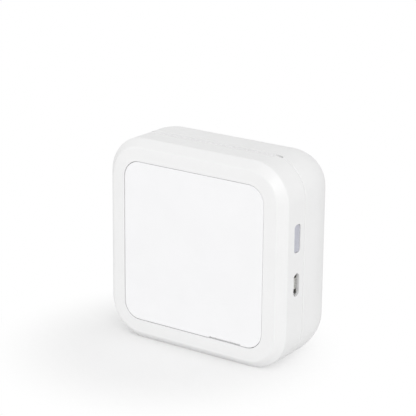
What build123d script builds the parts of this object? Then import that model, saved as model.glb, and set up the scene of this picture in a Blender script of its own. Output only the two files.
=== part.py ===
from build123d import *
import os
from math import atan2, cos, degrees, pi, radians, sin, sqrt, tan

# Portable thermal printer: two housing halves that open at a hinge along the bottom edge.
# Millimetres. X runs across the front, the front panel faces -Y, Z is up and the base is at Z = 0.

RUN = 0.05
EPS = 0.01

# Housing
SIZE = 79.0
DEPTH = 39.0
CORNER = 15.0
WALL = 2.0
MID = SIZE / 2
HALF = SIZE / 2
INNER = HALF - WALL
FRONT = -DEPTH / 2
REAR = DEPTH / 2
FRONT_HALF_DEPTH = 14.5
SEAM = FRONT + FRONT_HALF_DEPTH
SEAM_GAP = 0.2
SEAM_BEVEL = 0.2
FRONT_BEVEL = 3.0
FRONT_SOFT = 0.9
INNER_BEVEL = 1.5
BEZEL_SLOPE = 0.5
REAR_INSET = 12.0
REAR_DEPTH = 18.0
SHELL_FRONT_END = SEAM - SEAM_GAP / 2
COVER_FRONT_END = SEAM + SEAM_GAP / 2
TONGUE_THICK = 0.9
TONGUE_GAP = 0.2
TONGUE_REACH = 1.3
TONGUE_Z = (CORNER - 1.0, SIZE - CORNER - 4.0)

# Face plate, let into the front
BEZEL = 8.5
PLATE = SIZE - 2 * BEZEL
PLATE_CORNER = CORNER - BEZEL + 0.1
PLATE_THICK = 1.4
PLATE_GAP = 0.2
PLATE_EDGE = 0.25
PLATE_SEAT = 0.1
POCKET_DEPTH = PLATE_THICK + PLATE_SEAT
FLOOR = 1.0
POCKET_FLOOR = FRONT + POCKET_DEPTH
INNER_FRONT = POCKET_FLOOR + FLOOR
RIM_HALF = PLATE / 2 + PLATE_GAP + 0.3
PEG_SPAN = PLATE / 2 - 4.0
PEG_R = 1.0
PEG_END = INNER_FRONT + 0.5
NOTCH_WIDTH = 14.0
NOTCH_HIGH = 0.7
NOTCH_DEEP = 0.8
NOTCH_X = 15.0

# Hinge in the bottom edge
HINGE_PIN_R = 0.7
HINGE_BARREL_R = 1.6
HINGE_Z = HINGE_BARREL_R + 0.1
HINGE_Y = SHELL_FRONT_END + 2.0
HINGE_SWEEP_R = HINGE_BARREL_R + 0.25
HINGE_HALF = 27.0
HINGE_PIN_HALF = HINGE_HALF - 1.0
KNUCKLE_IN = 15.0
KNUCKLE_OUT = 21.0
KNUCKLE_GAP = 0.15
KNUCKLE_CLEAR = 0.2

# Side plates of the chassis, with gears to the left and sockets to the right of them
SIDE_ROOM = 7.0
CHEEK_THICK = 1.2
PAPER_GAP = 0.8
CHEEK_OUT = INNER - SIDE_ROOM
CHEEK_IN = CHEEK_OUT - CHEEK_THICK
PAPER = 2 * (CHEEK_IN - PAPER_GAP)

# Paper slot on top
SLOT_HALF = PAPER / 2 + 0.9
SLOT_HALF_WIDE = 0.7
SLOT_FRONT = SEAM - SLOT_HALF_WIDE
SLOT_REAR = SEAM + SLOT_HALF_WIDE
SLOT_LIP = 1.5
SLOT_BEVEL = 0.6
RIB_THICK = 0.7
CHANNEL_WIDE = 1.2
CHANNEL_DEEP = 0.4
LIP_DROP = 2.4
LIP_LOW = SIZE - WALL - LIP_DROP
TEAR_THICK = 0.3
TEAR_INSET = 0.6
TEAR_DROP = 0.15
TEETH = 36
TOOTH_HIGH = 0.8

# Gear train on the left, all of one module
MODULE = 0.4
PRESSURE = radians(20)
PLATEN_TEETH = 24
IDLER_TEETH = 20
STEP_SMALL_TEETH = 12
STEP_LARGE_TEETH = 26
PINION_TEETH = 12
TOOTH_SLACK = 0.05
ARM_GAP = 0.15
ARM_THICK = 1.05
ARM_IN = CHEEK_OUT + ARM_GAP
ARM_OUT = ARM_IN + ARM_THICK
GEAR_GAP = 0.15
GEAR_WIDE = 1.35
LAYER_GAP = 0.45
WHEEL_WIDE = 1.25
GEAR_ONE = (-ARM_OUT - GEAR_GAP - GEAR_WIDE, -ARM_OUT - GEAR_GAP)
GEAR_TWO = (GEAR_ONE[0] - LAYER_GAP - WHEEL_WIDE, GEAR_ONE[0] - LAYER_GAP)
GEAR_CLEAR = 0.46
TRAIN_CLEAR = 1.2
POST_R = 0.95
POST_END = 0.3
HUB_R = 1.7
WASHER_THICK = 0.2


def pitch_sum(teeth_a, teeth_b):
    """Centre distance of two gears in mesh."""
    return MODULE * (teeth_a + teeth_b) / 2


def tip_radius(teeth):
    """Outer radius of a gear."""
    return MODULE * (teeth / 2 + 1)


def ceiling(x):
    """Height of the housing's inner surface above a point in the rounded upper corner."""
    past = abs(x) - (HALF - CORNER)
    return SIZE - CORNER + sqrt((CORNER - WALL) ** 2 - past ** 2)


# Platen; it sits as high as its gear clears the housing's corner
PLATEN_Y = SEAM + 4.1
PLATEN_Z = ceiling(GEAR_ONE[0]) - tip_radius(PLATEN_TEETH) - GEAR_CLEAR
PLATEN_R = 4.0
PLATEN_HALF = CHEEK_IN - 0.7
SHAFT_R = 1.5
BUSH_R = 2.6
BUSH_GAP = 0.1
ARM_R = 3.9
NIP_Y = PLATEN_Y - PLATEN_R

# Places of the gears; the large wheel clears the front wall
IDLER_Y = PLATEN_Y - pitch_sum(PLATEN_TEETH, IDLER_TEETH)
IDLER_Z = PLATEN_Z
STEP_Y = INNER_FRONT + tip_radius(STEP_LARGE_TEETH) + TRAIN_CLEAR
STEP_Z = IDLER_Z - sqrt(pitch_sum(IDLER_TEETH, STEP_SMALL_TEETH) ** 2 - (IDLER_Y - STEP_Y) ** 2)
MOTOR_LEAN = 0.5
MOTOR_Y = STEP_Y - MOTOR_LEAN
MOTOR_Z = STEP_Z - sqrt(pitch_sum(STEP_LARGE_TEETH, PINION_TEETH) ** 2 - MOTOR_LEAN ** 2)

# Motor
MOTOR_R = 5.4
MOTOR_LONG = 15.0
MOTOR_SHAFT_R = 0.75
MOTOR_BOSS_R = 2.5
MOTOR_EAR = 7.2
MOTOR_EAR_R = 1.5
MOTOR_EARS = (-115, 120)
FLANGE = 0.8

# Thermal head, placed from the printing line
HEAD_GAP = 0.12
GLAZE_R = 0.5
GLAZE_PROUD = 0.38
STRIP_THICK = 1.2
STRIP_REAR = NIP_Y - HEAD_GAP - GLAZE_PROUD
SINK_THICK = 2.6
SINK_REAR = STRIP_REAR - STRIP_THICK
SINK_FRONT = SINK_REAR - SINK_THICK
PIVOT_Y = SINK_REAR - 1.4
PIVOT_Z = PLATEN_Z - 5.0
PIVOT_R = 0.8
CHASSIS_TOP = LIP_LOW - 0.4
SINK_LOW = PIVOT_Z - 1.0
SINK_HIGH = CHASSIS_TOP - 0.6
HEAD_SIDE = 2.5
HEAD_HALF = CHEEK_IN - HEAD_SIDE
STRIP_HALF = HEAD_HALF - 0.4
STRIP_LOW = PLATEN_Z - 3.6
STRIP_HIGH = SINK_HIGH - 1.0
DRIVER_HALF = HEAD_HALF - 4.8
DRIVER_HIGH = 1.3
DRIVER_THICK = 0.35
RIBBON = 0.16
RIBBON_BEND = 0.6
HEAD_RIBBON_X = (15.8 - HEAD_HALF, HEAD_HALF - 17.8)
SPRING_X = 13.0
SPRING_Z = PLATEN_Z + 2.0
SPRING_R = 1.7
SPRING_WIRE = 0.25
SPRING_TURNS = 5.5

# Main board and chassis front
CHASSIS_FRONT = INNER_FRONT + 1.0
CHASSIS_WALL = 1.2
BOARD_THICK = 0.8
BOARD_FRONT = INNER_FRONT + 0.8
BOARD_REAR = BOARD_FRONT + BOARD_THICK
BOARD_HALF = CHEEK_IN - FLANGE - 0.1

# Paper tray; the roll takes the depth between the main board and the rear wall
ROLL_GAP = 0.6
TRAY_WALL = 1.0
TRAY_GAP = 0.4
TRAY_REAR = REAR - WALL - 0.3
BAY_R = (TRAY_REAR - TRAY_WALL - TRAY_GAP - BOARD_REAR) / 2
ROLL_R = BAY_R - ROLL_GAP
BAY_Y = TRAY_REAR - BAY_R
MOTOR_GAP = 1.1
BAY_Z = MOTOR_Z - sqrt((BAY_R + TRAY_WALL + MOTOR_GAP + MOTOR_R) ** 2 - (BAY_Y - MOTOR_Y) ** 2)
CHEEK_REACH = 4.0
TRAY_FROM = radians(132)
TRAY_TO = radians(290)

# Chassis
WAIST_Y = SEAM + 1.0
JAW_END = PLATEN_Y + 3.3
BAR_HIGH = SINK_LOW - 1.2
BAR_LOW = BAR_HIGH - 5.8
BAR_REAR = SEAM - 0.6
BAR_FRONT = BAR_REAR - 2.6
BAR_THIN = 1.6
BOSS_LONG = 3.4

# Sizes of the parts that stand on the boards
CHIP_HIGH = 0.9
CAN_HIGH = 1.3
SOCKET_HIGH = 1.3
RIBBON_SOCKET_HIGH = 0.8
ROW_GAP = 0.9
LOWER_ROW = 6.7
UPPER_ROW = BOARD_HALF - 15.0
MOTOR_SOCKET_X = 9.3 - CHEEK_IN
MOTOR_RIBBON_HALF = 3.0


def bulge(high):
    """Half height of the tray's front where it comes as near to the main board as this height."""
    return sqrt((BAY_R + TRAY_WALL) ** 2 - (BAY_R + TRAY_WALL + TRAY_GAP - high) ** 2)


# Heights of the boards, stacked from the tray downwards
ROW_TOP = BAY_Z - bulge(CAN_HIGH) - ROW_GAP
BOARD_LOW = ROW_TOP - LOWER_ROW
BOARD_HIGH = MOTOR_Z - MOTOR_R + 0.25
BOARD_FIX_X = BOARD_HALF - 2.6
BOARD_FIX_Z = (BOARD_LOW + 2.0, BOARD_HIGH - 2.7)
BOARD_FIX_BOSS = 2.0
FOOT_HIGH = BOARD_LOW - 0.7
FOOT_LOW = FOOT_HIGH - 3.4
FOOT_HALF = 3.0
FOOT_REAR = BAY_Y - sqrt(BAY_R ** 2 - (BAY_Z - FOOT_HIGH) ** 2) - 0.15

# Battery, under the lower board edge
CELL_HALF = PEG_SPAN - 2.0
CELL_THICK = 10.0
CELL_LOW = WALL + 1.2
CELL_HIGH = FOOT_LOW - 0.9
CELL_ROUND = 2.0
TAPE = 0.3
TAPE_SHARE = 0.55
CELL_FRONT = INNER_FRONT + TAPE
LEAD_R = 0.45
LEAD_SPAN = 0.7
LEAD_X = CELL_HALF - 3.4
LEAD_END_Y = BOARD_REAR + 1.4
LEAD_END_Z = BOARD_LOW + 1.4

# Screws
FOOT_X = CELL_HALF - 9.0
FIX_HIGH = (CHEEK_IN - 5.3, PLATEN_Z - 0.5)
FIX_LOW = (FOOT_X, FOOT_LOW + 1.6)
SCREW_R = 0.9
SCREW_HEAD_ROOM = 2.0
BOARD_SCREW_R = 0.65
SIDE_SCREW_R = 0.75
MOTOR_SCREW_R = 0.7
POST_OUT = 2.4

# Side board with switch and socket
PORT_THICK = 2.6
PORT_Y = SEAM - 4.9
SIDE_REAR = PORT_Y - PORT_THICK / 2
SIDE_THICK = 0.8
SIDE_FRONT = SIDE_REAR - SIDE_THICK
BUTTON_Z = MID + 11.3
BUTTON_HIGH = 10.4
BUTTON_WIDE = 3.7
BUTTON_CORNER = 1.2
BUTTON_SOFT = 0.3
BUTTON_GAP = 0.15
BUTTON_END = HALF - 0.1
BUTTON_FLANGE = 0.8
BUTTON_RIM = 0.9
BUTTON_TRAVEL = 0.5
FLANGE_X = (INNER - RUN - BUTTON_FLANGE, INNER - RUN)
SIDE_X = (CHEEK_OUT + 0.5, FLANGE_X[0] - BUTTON_TRAVEL - 0.15)
SIDE_Z = (ROW_TOP - 2.0, BUTTON_Z + 10.6)
SWITCH_LONG = 3.4
SWITCH_X = (FLANGE_X[0] - 1.65 - SWITCH_LONG, FLANGE_X[0] - 1.65)
SWITCH_HALF = 2.5
USB_Z = SIDE_Z[0] + 7.0
USB_HIGH = 7.6
USB_END = HALF - 0.7
USB_LONG = 5.2
USB_SHEET = 0.3
USB_TAPER = (0.9, 1.1)
USB_OPEN = 0.6
SIDE_FIX_X = SIDE_X[1] - 1.8
SIDE_FIX_Z = ((USB_Z + USB_HIGH / 2 + BUTTON_Z - SWITCH_HALF) / 2, BUTTON_Z + 8.4)
LAMP_X = (SIDE_X[1] - 1.4, SIDE_X[1] - 0.1)
LAMP_Z = (BUTTON_Z + 3.4, BUTTON_Z + 5.2)

# Paper sensor on the chassis bar
SENSOR_X = 9.7
SENSOR_HALF = 1.7
SENSOR_Z = BAR_LOW + 2.8
SENSOR_HIGH = 2.8
SENSOR_DEEP = 1.5
SENSOR_GAP = 0.1

# Cover insides
BRIDGE_Y = REAR - 10.5
BRIDGE_THICK = 1.6
BRIDGE_LOW = PLATEN_Z - 8.0
BRIDGE_HIGH = PLATEN_Z + 3.8
CARRIER_FIX = (18.0, PLATEN_Z - 2.0)


# Basic shapes


def block(x, y, z):
    """Box between two limits along each axis."""
    box = Box(x[1] - x[0], y[1] - y[0], z[1] - z[0], align=(Align.MIN, Align.MIN, Align.MIN))
    return Pos(x[0], y[0], z[0]) * box


def rod_x(y, z, radius, x):
    """Round bar along X between two limits."""
    bar = Cylinder(radius, x[1] - x[0], align=(Align.CENTER, Align.CENTER, Align.MIN))
    return Pos(x[0], y, z) * Rot(0, 90, 0) * bar


def rod_y(x, z, radius, y):
    """Round bar along Y between two limits."""
    bar = Cylinder(radius, y[1] - y[0], align=(Align.CENTER, Align.CENTER, Align.MIN))
    return Pos(x, y[0], z) * Rot(-90, 0, 0) * bar


def around(middle, half):
    """Two limits about a middle."""
    return (middle - half, middle + half)


def wider(limits, gap):
    """Two limits moved apart by a gap at each end."""
    return (limits[0] - gap, limits[1] + gap)


def both_ways(x):
    """A pair of X values, mirrored about the middle."""
    return (-x, x)


def across(x):
    """Plane square to X in which a sketch is drawn as (Y, Z)."""
    return Plane(origin=(x, 0, 0), x_dir=(0, 1, 0), z_dir=(1, 0, 0))


def slab_x(sketch, x):
    """A (Y, Z) sketch made solid between two limits along X."""
    return extrude(across(x[0]) * sketch, amount=x[1] - x[0])


def slab_y(sketch, y):
    """An (X, Z) sketch made solid between two limits along Y."""
    facing = Plane(origin=(0, y[1], 0), x_dir=(1, 0, 0), z_dir=(0, -1, 0))
    return extrude(facing * sketch, amount=y[1] - y[0])


def polygon(*points):
    """Face inside a closed line of straight edges."""
    return make_face(Polyline(*points, close=True))


def rounded_square(half, corner):
    """(X, Z) outline of the box seen from the front."""
    return Pos(0, MID) * RectangleRounded(2 * half, 2 * half, corner)


def capsule_x(y, z, wide, high, x):
    """Upright capsule-shaped bar along X."""
    outline = Pos(y, z) * Rot(0, 0, 90) * SlotOverall(high, wide)
    return slab_x(outline, x)


def button_x(spare, x):
    """Upright bar along X with the power button's rounded outline, wider all round by the spare."""
    outline = RectangleRounded(BUTTON_WIDE + 2 * spare, BUTTON_HIGH + 2 * spare, BUTTON_CORNER + spare)
    return slab_x(Pos(PORT_Y, BUTTON_Z) * outline, x)


def strap(points):
    """Cross-section of a thin flexible strip that follows points."""
    line = FilletPolyline(*points, radius=RIBBON_BEND)
    return make_face(offset(line, amount=RIBBON / 2, side=Side.BOTH))


# Housing


def round_rear(half, corner, inset, depth, end):
    """Cutter that turns the rear edge of a rounded box into a quarter ellipse."""
    reach = 2.0
    start = end - depth
    arc = EllipticalCenterArc((-inset, start), inset, depth, 0, arc_size=90)
    rest = Polyline((-inset, end), (-inset, end + reach), (reach, end + reach), (reach, start), (0, start))
    section = make_face(Curve() + [arc, rest])
    plane = Plane(origin=(half, 0, MID), x_dir=(1, 0, 0), z_dir=(0, 0, 1))
    straight = half - corner
    quarter = Curve() + [Line((half, 0), (half, straight)), CenterArc((straight, straight), corner, 0, 90),
                         Line((straight, half), (0, half))]
    facing = Plane(origin=(0, 0, MID), x_dir=(1, 0, 0), z_dir=(0, -1, 0))
    sides = [facing * Rot(0, 0, 90 * turn) * quarter for turn in range(4)]
    path = Wire([edge for side in sides for edge in side.edges()])
    return sweep(plane * section, path=path)


def rear_body(half, corner, inset, depth, start, end):
    """Rounded box with widely rounded rear edges."""
    body = slab_y(rounded_square(half, corner), (start, end))
    return body - round_rear(half, corner, inset, depth, end)


def front_body():
    """Outer form of the front half: sloped face and a wide bevel with softened edges."""
    lower = FRONT + BEZEL_SLOPE
    body = slab_y(rounded_square(HALF, CORNER), (lower, SHELL_FRONT_END))
    body = chamfer(body.edges().group_by(Axis.Y)[-1], SEAM_BEVEL)
    rim_corner = CORNER - (HALF - RIM_HALF)
    base = Plane(origin=(0, lower, MID), x_dir=(1, 0, 0), z_dir=(0, -1, 0))
    top = Plane(origin=(0, FRONT, MID), x_dir=(1, 0, 0), z_dir=(0, -1, 0))
    outer = base * RectangleRounded(SIZE, SIZE, CORNER)
    inner = top * RectangleRounded(2 * RIM_HALF, 2 * RIM_HALF, rim_corner)
    body += loft([outer, inner], ruled=True)
    edge = [e for e in body.edges() if abs(e.center().Y - lower) < EPS and abs(e.bounding_box().size.Y) < EPS]
    body = chamfer(edge, FRONT_BEVEL)
    rims = [e for e in body.edges() if FRONT + EPS < e.center().Y < lower + FRONT_BEVEL + EPS
            and abs(e.bounding_box().size.Y) < EPS]
    return fillet(rims, FRONT_SOFT)


def knuckle_spans():
    """X limits of the front half's two knuckles."""
    return ((-KNUCKLE_OUT, -KNUCKLE_IN), (KNUCKLE_IN, KNUCKLE_OUT))


def barrel(x):
    """Piece of the hinge's round barrel."""
    return rod_x(HINGE_Y, HINGE_Z, HINGE_BARREL_R, x)


def pin_hole():
    return rod_x(HINGE_Y, HINGE_Z, HINGE_PIN_R + RUN, wider(both_ways(HINGE_PIN_HALF), 0.2))


def shell_knuckles():
    """Two knuckles of the front half with the webs that carry them."""
    pieces = []
    for span in knuckle_spans():
        x = wider(span, -KNUCKLE_GAP)
        web = block(x, (SHELL_FRONT_END - CHEEK_THICK, HINGE_Y), around(HINGE_Z, HINGE_BARREL_R))
        pieces.append(barrel(x) + web)
    return pieces


def slot_lip(y):
    """Thicker wall along one side of the paper slot."""
    return block(wider(both_ways(SLOT_HALF), 1.0), y, (LIP_LOW, SIZE - WALL + 0.2))


def slot_cut(y):
    """Half of the paper slot, cut through the top wall."""
    return block(both_ways(SLOT_HALF), y, (LIP_LOW - 1, SIZE + 1))


def slot_bevel():
    """Bevel along the upper edge of the rear lip."""
    section = polygon((SLOT_REAR - EPS, SIZE + EPS), (SLOT_REAR + SLOT_BEVEL, SIZE + EPS),
                      (SLOT_REAR - EPS, SIZE - SLOT_BEVEL))
    return slab_x(section, both_ways(SLOT_HALF))


def slot_channel():
    """Shallow channel that leaves a thin rib along the front of the slot."""
    rear = SLOT_FRONT - RIB_THICK
    return block(both_ways(SLOT_HALF), (rear - CHANNEL_WIDE, rear), (SIZE - CHANNEL_DEEP, SIZE + 1))


def side_tongues():
    """Strips inside the side walls that bridge the seam; their roots stay clear of the button's flange."""
    root_start = PORT_Y + BUTTON_WIDE / 2 + BUTTON_RIM + RUN
    strips = []
    for sign in (-1, 1):
        inside = sign * (INNER - TONGUE_GAP - TONGUE_THICK)
        x = sorted((sign * (INNER - TONGUE_GAP), inside))
        root = sorted((sign * (INNER + 0.1), inside))
        strips.append(block(root, (root_start, SHELL_FRONT_END), TONGUE_Z))
        strips.append(block(x, (root_start + TONGUE_THICK, SHELL_FRONT_END + TONGUE_REACH), TONGUE_Z))
    return strips


def chassis_fixings():
    """(X, Z) places of the four screws that hold the chassis."""
    return [(x, z) for far, z in (FIX_HIGH, FIX_LOW) for x in both_ways(far)]


def board_fixings():
    """(X, Z) places of the four screws that hold the main board."""
    return [(x, z) for z in BOARD_FIX_Z for x in both_ways(BOARD_FIX_X)]


def pegs():
    """(X, Z) places of the face plate's four pegs."""
    return [(x, MID + z) for x in both_ways(PEG_SPAN) for z in both_ways(PEG_SPAN)]


def shell_posts():
    """Posts and ribs that carry chassis, side board and battery."""
    root = INNER_FRONT - 0.1
    posts = [rod_y(x, z, POST_OUT, (root, CHASSIS_FRONT)) for x, z in chassis_fixings()]
    posts += [rod_y(SIDE_FIX_X, z, POST_OUT - 0.3, (root, SIDE_FRONT)) for z in SIDE_FIX_Z]
    for x in both_ways(FOOT_X - 1.0):
        posts.append(block(around(x, 1.0), (root, CELL_FRONT + CELL_THICK), (WALL - 0.1, CELL_LOW)))
    return posts


def shell_holes():
    """Screw holes, peg holes and the two openings in the right wall."""
    holes = []
    for x, z in chassis_fixings():
        holes.append(rod_y(x, z, SCREW_R + 0.2, (FRONT, CHASSIS_FRONT + 1)))
        holes.append(rod_y(x, z, SCREW_HEAD_ROOM, (FRONT, INNER_FRONT)))
    for z in SIDE_FIX_Z:
        holes.append(rod_y(SIDE_FIX_X, z, SIDE_SCREW_R + RUN, (SIDE_FRONT - 4.0, SIDE_REAR)))
    for x, z in pegs():
        holes.append(rod_y(x, z, PEG_R + RUN, (FRONT, PEG_END + 1)))
    through = (INNER - 1, HALF + 1)
    holes.append(button_x(BUTTON_GAP, through))
    holes.append(capsule_x(PORT_Y, USB_Z, PORT_THICK + 2 * USB_OPEN, USB_HIGH + 2 * USB_OPEN, through))
    return holes


def front_shell():
    body = front_body()
    inside = slab_y(rounded_square(INNER, CORNER - WALL), (INNER_FRONT, SHELL_FRONT_END + 1))
    body -= chamfer(inside.edges().group_by(Axis.Y)[0], INNER_BEVEL)
    body -= slab_y(rounded_square(PLATE / 2 + PLATE_GAP, PLATE_CORNER + PLATE_GAP), (FRONT - 1, POCKET_FLOOR))
    body += slot_lip((SLOT_FRONT - SLOT_LIP, SHELL_FRONT_END))
    body -= slot_cut((SLOT_FRONT, SHELL_FRONT_END + 1))
    body -= slot_channel()
    for piece in side_tongues() + shell_knuckles() + shell_posts():
        body += piece
    body -= pin_hole()
    for hole in shell_holes():
        body -= hole
    return body


def rear_cover():
    outer = rear_body(HALF, CORNER, REAR_INSET, REAR_DEPTH, COVER_FRONT_END, REAR)
    outer = chamfer(outer.edges().group_by(Axis.Y)[0], SEAM_BEVEL)
    inner = rear_body(INNER, CORNER - WALL, REAR_INSET - WALL, REAR_DEPTH - WALL, COVER_FRONT_END - 1, REAR - WALL)
    body = outer - inner
    clear_of_hinge = block((-SIZE, SIZE), (COVER_FRONT_END - 1, HINGE_Y), (-1, HINGE_Z))
    body -= clear_of_hinge - rod_x(HINGE_Y, HINGE_Z, HINGE_SWEEP_R, wider((-SIZE, SIZE), 1))
    body += barrel(both_ways(HINGE_HALF))
    past = HINGE_BARREL_R + KNUCKLE_CLEAR
    for span in knuckle_spans():
        body -= block(span, (COVER_FRONT_END - 1, HINGE_Y + past), (-1, HINGE_Z + past + 0.1))
    body -= pin_hole()
    body += slot_lip((COVER_FRONT_END, SLOT_REAR + SLOT_LIP - 0.3))
    body -= slot_cut((COVER_FRONT_END - 1, SLOT_REAR))
    body -= slot_bevel()
    far, z = CARRIER_FIX
    for x in both_ways(far):
        body += rod_y(x, z, POST_OUT + 0.1, (BRIDGE_Y + BRIDGE_THICK, REAR - WALL + 0.3))
        body -= rod_y(x, z, SCREW_R + RUN, (BRIDGE_Y, REAR - WALL - 1.0))
    return body


def face_plate():
    """Clip-on plate with four pegs and a pry notch low on the right."""
    plate = slab_y(rounded_square(PLATE / 2, PLATE_CORNER), (FRONT, FRONT + PLATE_THICK))
    plate = fillet(plate.edges().group_by(Axis.Y)[0], PLATE_EDGE)
    low = MID - PLATE / 2
    plate -= block(around(NOTCH_X, NOTCH_WIDTH / 2), (FRONT - 1, FRONT + NOTCH_DEEP), (low - 1, low + NOTCH_HIGH))
    back = FRONT + PLATE_THICK - 0.1
    for x, z in pegs():
        plate += rod_y(x, z, PEG_R, (back, PEG_END))
        plate += rod_y(x, z, 2 * PEG_R, (back, POCKET_FLOOR))
    return plate


def hinge_pin():
    return rod_x(HINGE_Y, HINGE_Z, HINGE_PIN_R, both_ways(HINGE_PIN_HALF))


def tear_bar():
    """Thin steel strip with saw teeth standing in the paper slot, below the housing's surface."""
    half = SLOT_HALF - TEAR_INSET
    high = SIZE - TEAR_DROP - TOOTH_HIGH
    pitch = 2 * half / TEETH
    points = [(-half, LIP_LOW + 0.2), (half, LIP_LOW + 0.2)]
    for i in range(TEETH + 1):
        points.append((half - i * pitch, high))
        if i < TEETH:
            points.append((half - (i + 0.5) * pitch, high + TOOTH_HIGH))
    below_surface = rounded_square(HALF - TEAR_DROP, CORNER - TEAR_DROP)
    return slab_y(polygon(*points) & below_surface, (SLOT_FRONT, SLOT_FRONT + TEAR_THICK))


# Chassis


def cheek_outline():
    """(Y, Z) outline of a side plate: tray disc, upright and jaw for the platen bush."""
    disc = Pos(BAY_Y, BAY_Z) * Circle(BAY_R + TRAY_WALL)
    disc -= Pos(BAY_Y + CHEEK_REACH + BAY_R, BAY_Z) * Rectangle(2 * BAY_R, 3 * BAY_R)
    inside = BAY_Z + BAY_R / 2
    upright = polygon((CHASSIS_FRONT, MOTOR_Z - 9.0), (CHASSIS_FRONT, CHASSIS_TOP),
                      (WAIST_Y + 0.2, CHASSIS_TOP), (JAW_END, CHASSIS_TOP - 1.2), (JAW_END, PIVOT_Z - 2.5),
                      (WAIST_Y, MOTOR_Z), (WAIST_Y, inside), (BAY_Y - BAY_R / 2, inside))
    return disc + upright


def jaw_cut():
    """Notch for the platen bush, open to the rear and flared along the cover's swing."""
    radius = BUSH_R + BUSH_GAP
    mouth = JAW_END + 1
    flare = polygon((PLATEN_Y, PLATEN_Z + radius), (mouth, PLATEN_Z + radius + 0.2),
                    (mouth, PLATEN_Z - radius - 0.6), (PLATEN_Y, PLATEN_Z - radius))
    return Pos(PLATEN_Y, PLATEN_Z) * Circle(radius) + flare


def tray_wall():
    """Curved wall under and in front of the roll."""
    ring = Pos(BAY_Y, BAY_Z) * (Circle(BAY_R + TRAY_WALL) - Circle(BAY_R))
    far = 3 * BAY_R
    corners = [(far * cos(a), far * sin(a)) for a in (TRAY_FROM, (TRAY_FROM + TRAY_TO) / 2, TRAY_TO)]
    keep = Pos(BAY_Y, BAY_Z) * polygon((0, 0), *corners)
    return slab_x(ring & keep, both_ways(CHEEK_OUT))


def motor_ears():
    """(Y, Z) places of the two motor screws."""
    turns = [radians(turn) for turn in MOTOR_EARS]
    return [(MOTOR_Y + MOTOR_EAR * cos(turn), MOTOR_Z + MOTOR_EAR * sin(turn)) for turn in turns]


def chassis_frame():
    """Front wall, guide bars, feet and bosses that join the side plates."""
    wall = (CHASSIS_FRONT, CHASSIS_FRONT + CHASSIS_WALL)
    bar_x = MOTOR_LONG + 0.6 - CHEEK_IN
    pieces = [
        block(both_ways(CHEEK_OUT), wall, (PIVOT_Z - 0.5, CHASSIS_TOP)),
        block((bar_x, CHEEK_OUT), (BAR_FRONT, BAR_REAR), (BAR_LOW, BAR_HIGH)),
        block((-CHEEK_OUT, bar_x + 0.1), (BAR_REAR - BAR_THIN, BAR_REAR), (BAR_HIGH - CHEEK_THICK, BAR_HIGH)),
    ]
    far, z = FIX_HIGH
    for x in both_ways(far):
        pieces.append(rod_y(x, z, POST_OUT - 0.1, (CHASSIS_FRONT, CHASSIS_FRONT + BOSS_LONG)))
    for x in both_ways(FOOT_X):
        pieces.append(block(around(x, FOOT_HALF), (CHASSIS_FRONT, FOOT_REAR), (FOOT_LOW, FOOT_HIGH)))
    for x, z in board_fixings():
        end = BAY_Y - sqrt((BAY_R + TRAY_WALL / 2) ** 2 - (z - BAY_Z) ** 2)
        pieces.append(rod_y(x, z, BOARD_FIX_BOSS, (BOARD_REAR, end)))
    return pieces


def chassis_holes():
    """Screw holes, pivot holes, the motor's holes and the roll's bore."""
    left = (-CHEEK_OUT - 1, -CHEEK_IN + 1)
    holes = [rod_x(BAY_Y, BAY_Z, BAY_R, both_ways(CHEEK_IN))]
    for x, z in chassis_fixings():
        holes.append(rod_y(x, z, SCREW_R + RUN, (CHASSIS_FRONT - 1, CHASSIS_FRONT + BOSS_LONG + 1.6)))
    for x, z in board_fixings():
        holes.append(rod_y(x, z, BOARD_SCREW_R + RUN, (BOARD_REAR - 1, BOARD_REAR + 4.0)))
    holes.append(rod_x(PIVOT_Y, PIVOT_Z, PIVOT_R + RUN, wider(both_ways(CHEEK_OUT), 1)))
    holes.append(rod_x(MOTOR_Y, MOTOR_Z, MOTOR_BOSS_R + 0.1, left))
    for y, z in motor_ears():
        holes.append(rod_x(y, z, MOTOR_SCREW_R + RUN, left))
    pocket_x = wider(around(SENSOR_X, SENSOR_HALF), SENSOR_GAP)
    pocket_z = wider(around(SENSOR_Z, SENSOR_HIGH / 2), SENSOR_GAP)
    holes.append(block(pocket_x, (BAR_REAR - SENSOR_DEEP, BAR_REAR + 1), pocket_z))
    return holes


def gear_posts():
    """Two posts on the left side plate that carry the idler and the reduction gear."""
    root = -CHEEK_OUT + 0.1
    idler = rod_x(IDLER_Y, IDLER_Z, POST_R, (GEAR_ONE[0] - POST_END, root))
    return [idler, rod_x(STEP_Y, STEP_Z, POST_R, (GEAR_TWO[0] - POST_END, root))]


def chassis():
    outline = cheek_outline() - jaw_cut()
    body = slab_x(outline, (-CHEEK_OUT, -CHEEK_IN)) + slab_x(outline, (CHEEK_IN, CHEEK_OUT))
    body += tray_wall()
    for piece in chassis_frame() + gear_posts():
        body += piece
    for hole in chassis_holes():
        body -= hole
    return body


def paper_sensor():
    """Small reflecting light sensor with two lenses."""
    face = BAR_REAR - 0.2
    body = block(around(SENSOR_X, SENSOR_HALF), (BAR_REAR - SENSOR_DEEP, face), around(SENSOR_Z, SENSOR_HIGH / 2))
    for x in around(SENSOR_X, SENSOR_HALF - 0.9):
        body += rod_y(x, SENSOR_Z, 0.55, (face - 0.1, BAR_REAR - RUN))
    return body


# Fasteners


def screw_y(x, z, seat, length, radius, way):
    """Pan-head screw along Y; the head sits on the seat and the shank points the given way."""
    head_r = 1.8 * radius
    top = seat - way * 0.9 * radius
    head = rod_y(x, z, head_r, sorted((seat, top)))
    cut = sorted((top - way * 0.1, top + way * 0.45 * radius))
    for wide, high in ((head_r, 0.2 * head_r), (0.2 * head_r, head_r)):
        head -= block(around(x, wide / 2), cut, around(z, high / 2))
    return head + rod_y(x, z, radius, sorted((seat - way * RUN, seat + way * length)))


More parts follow.
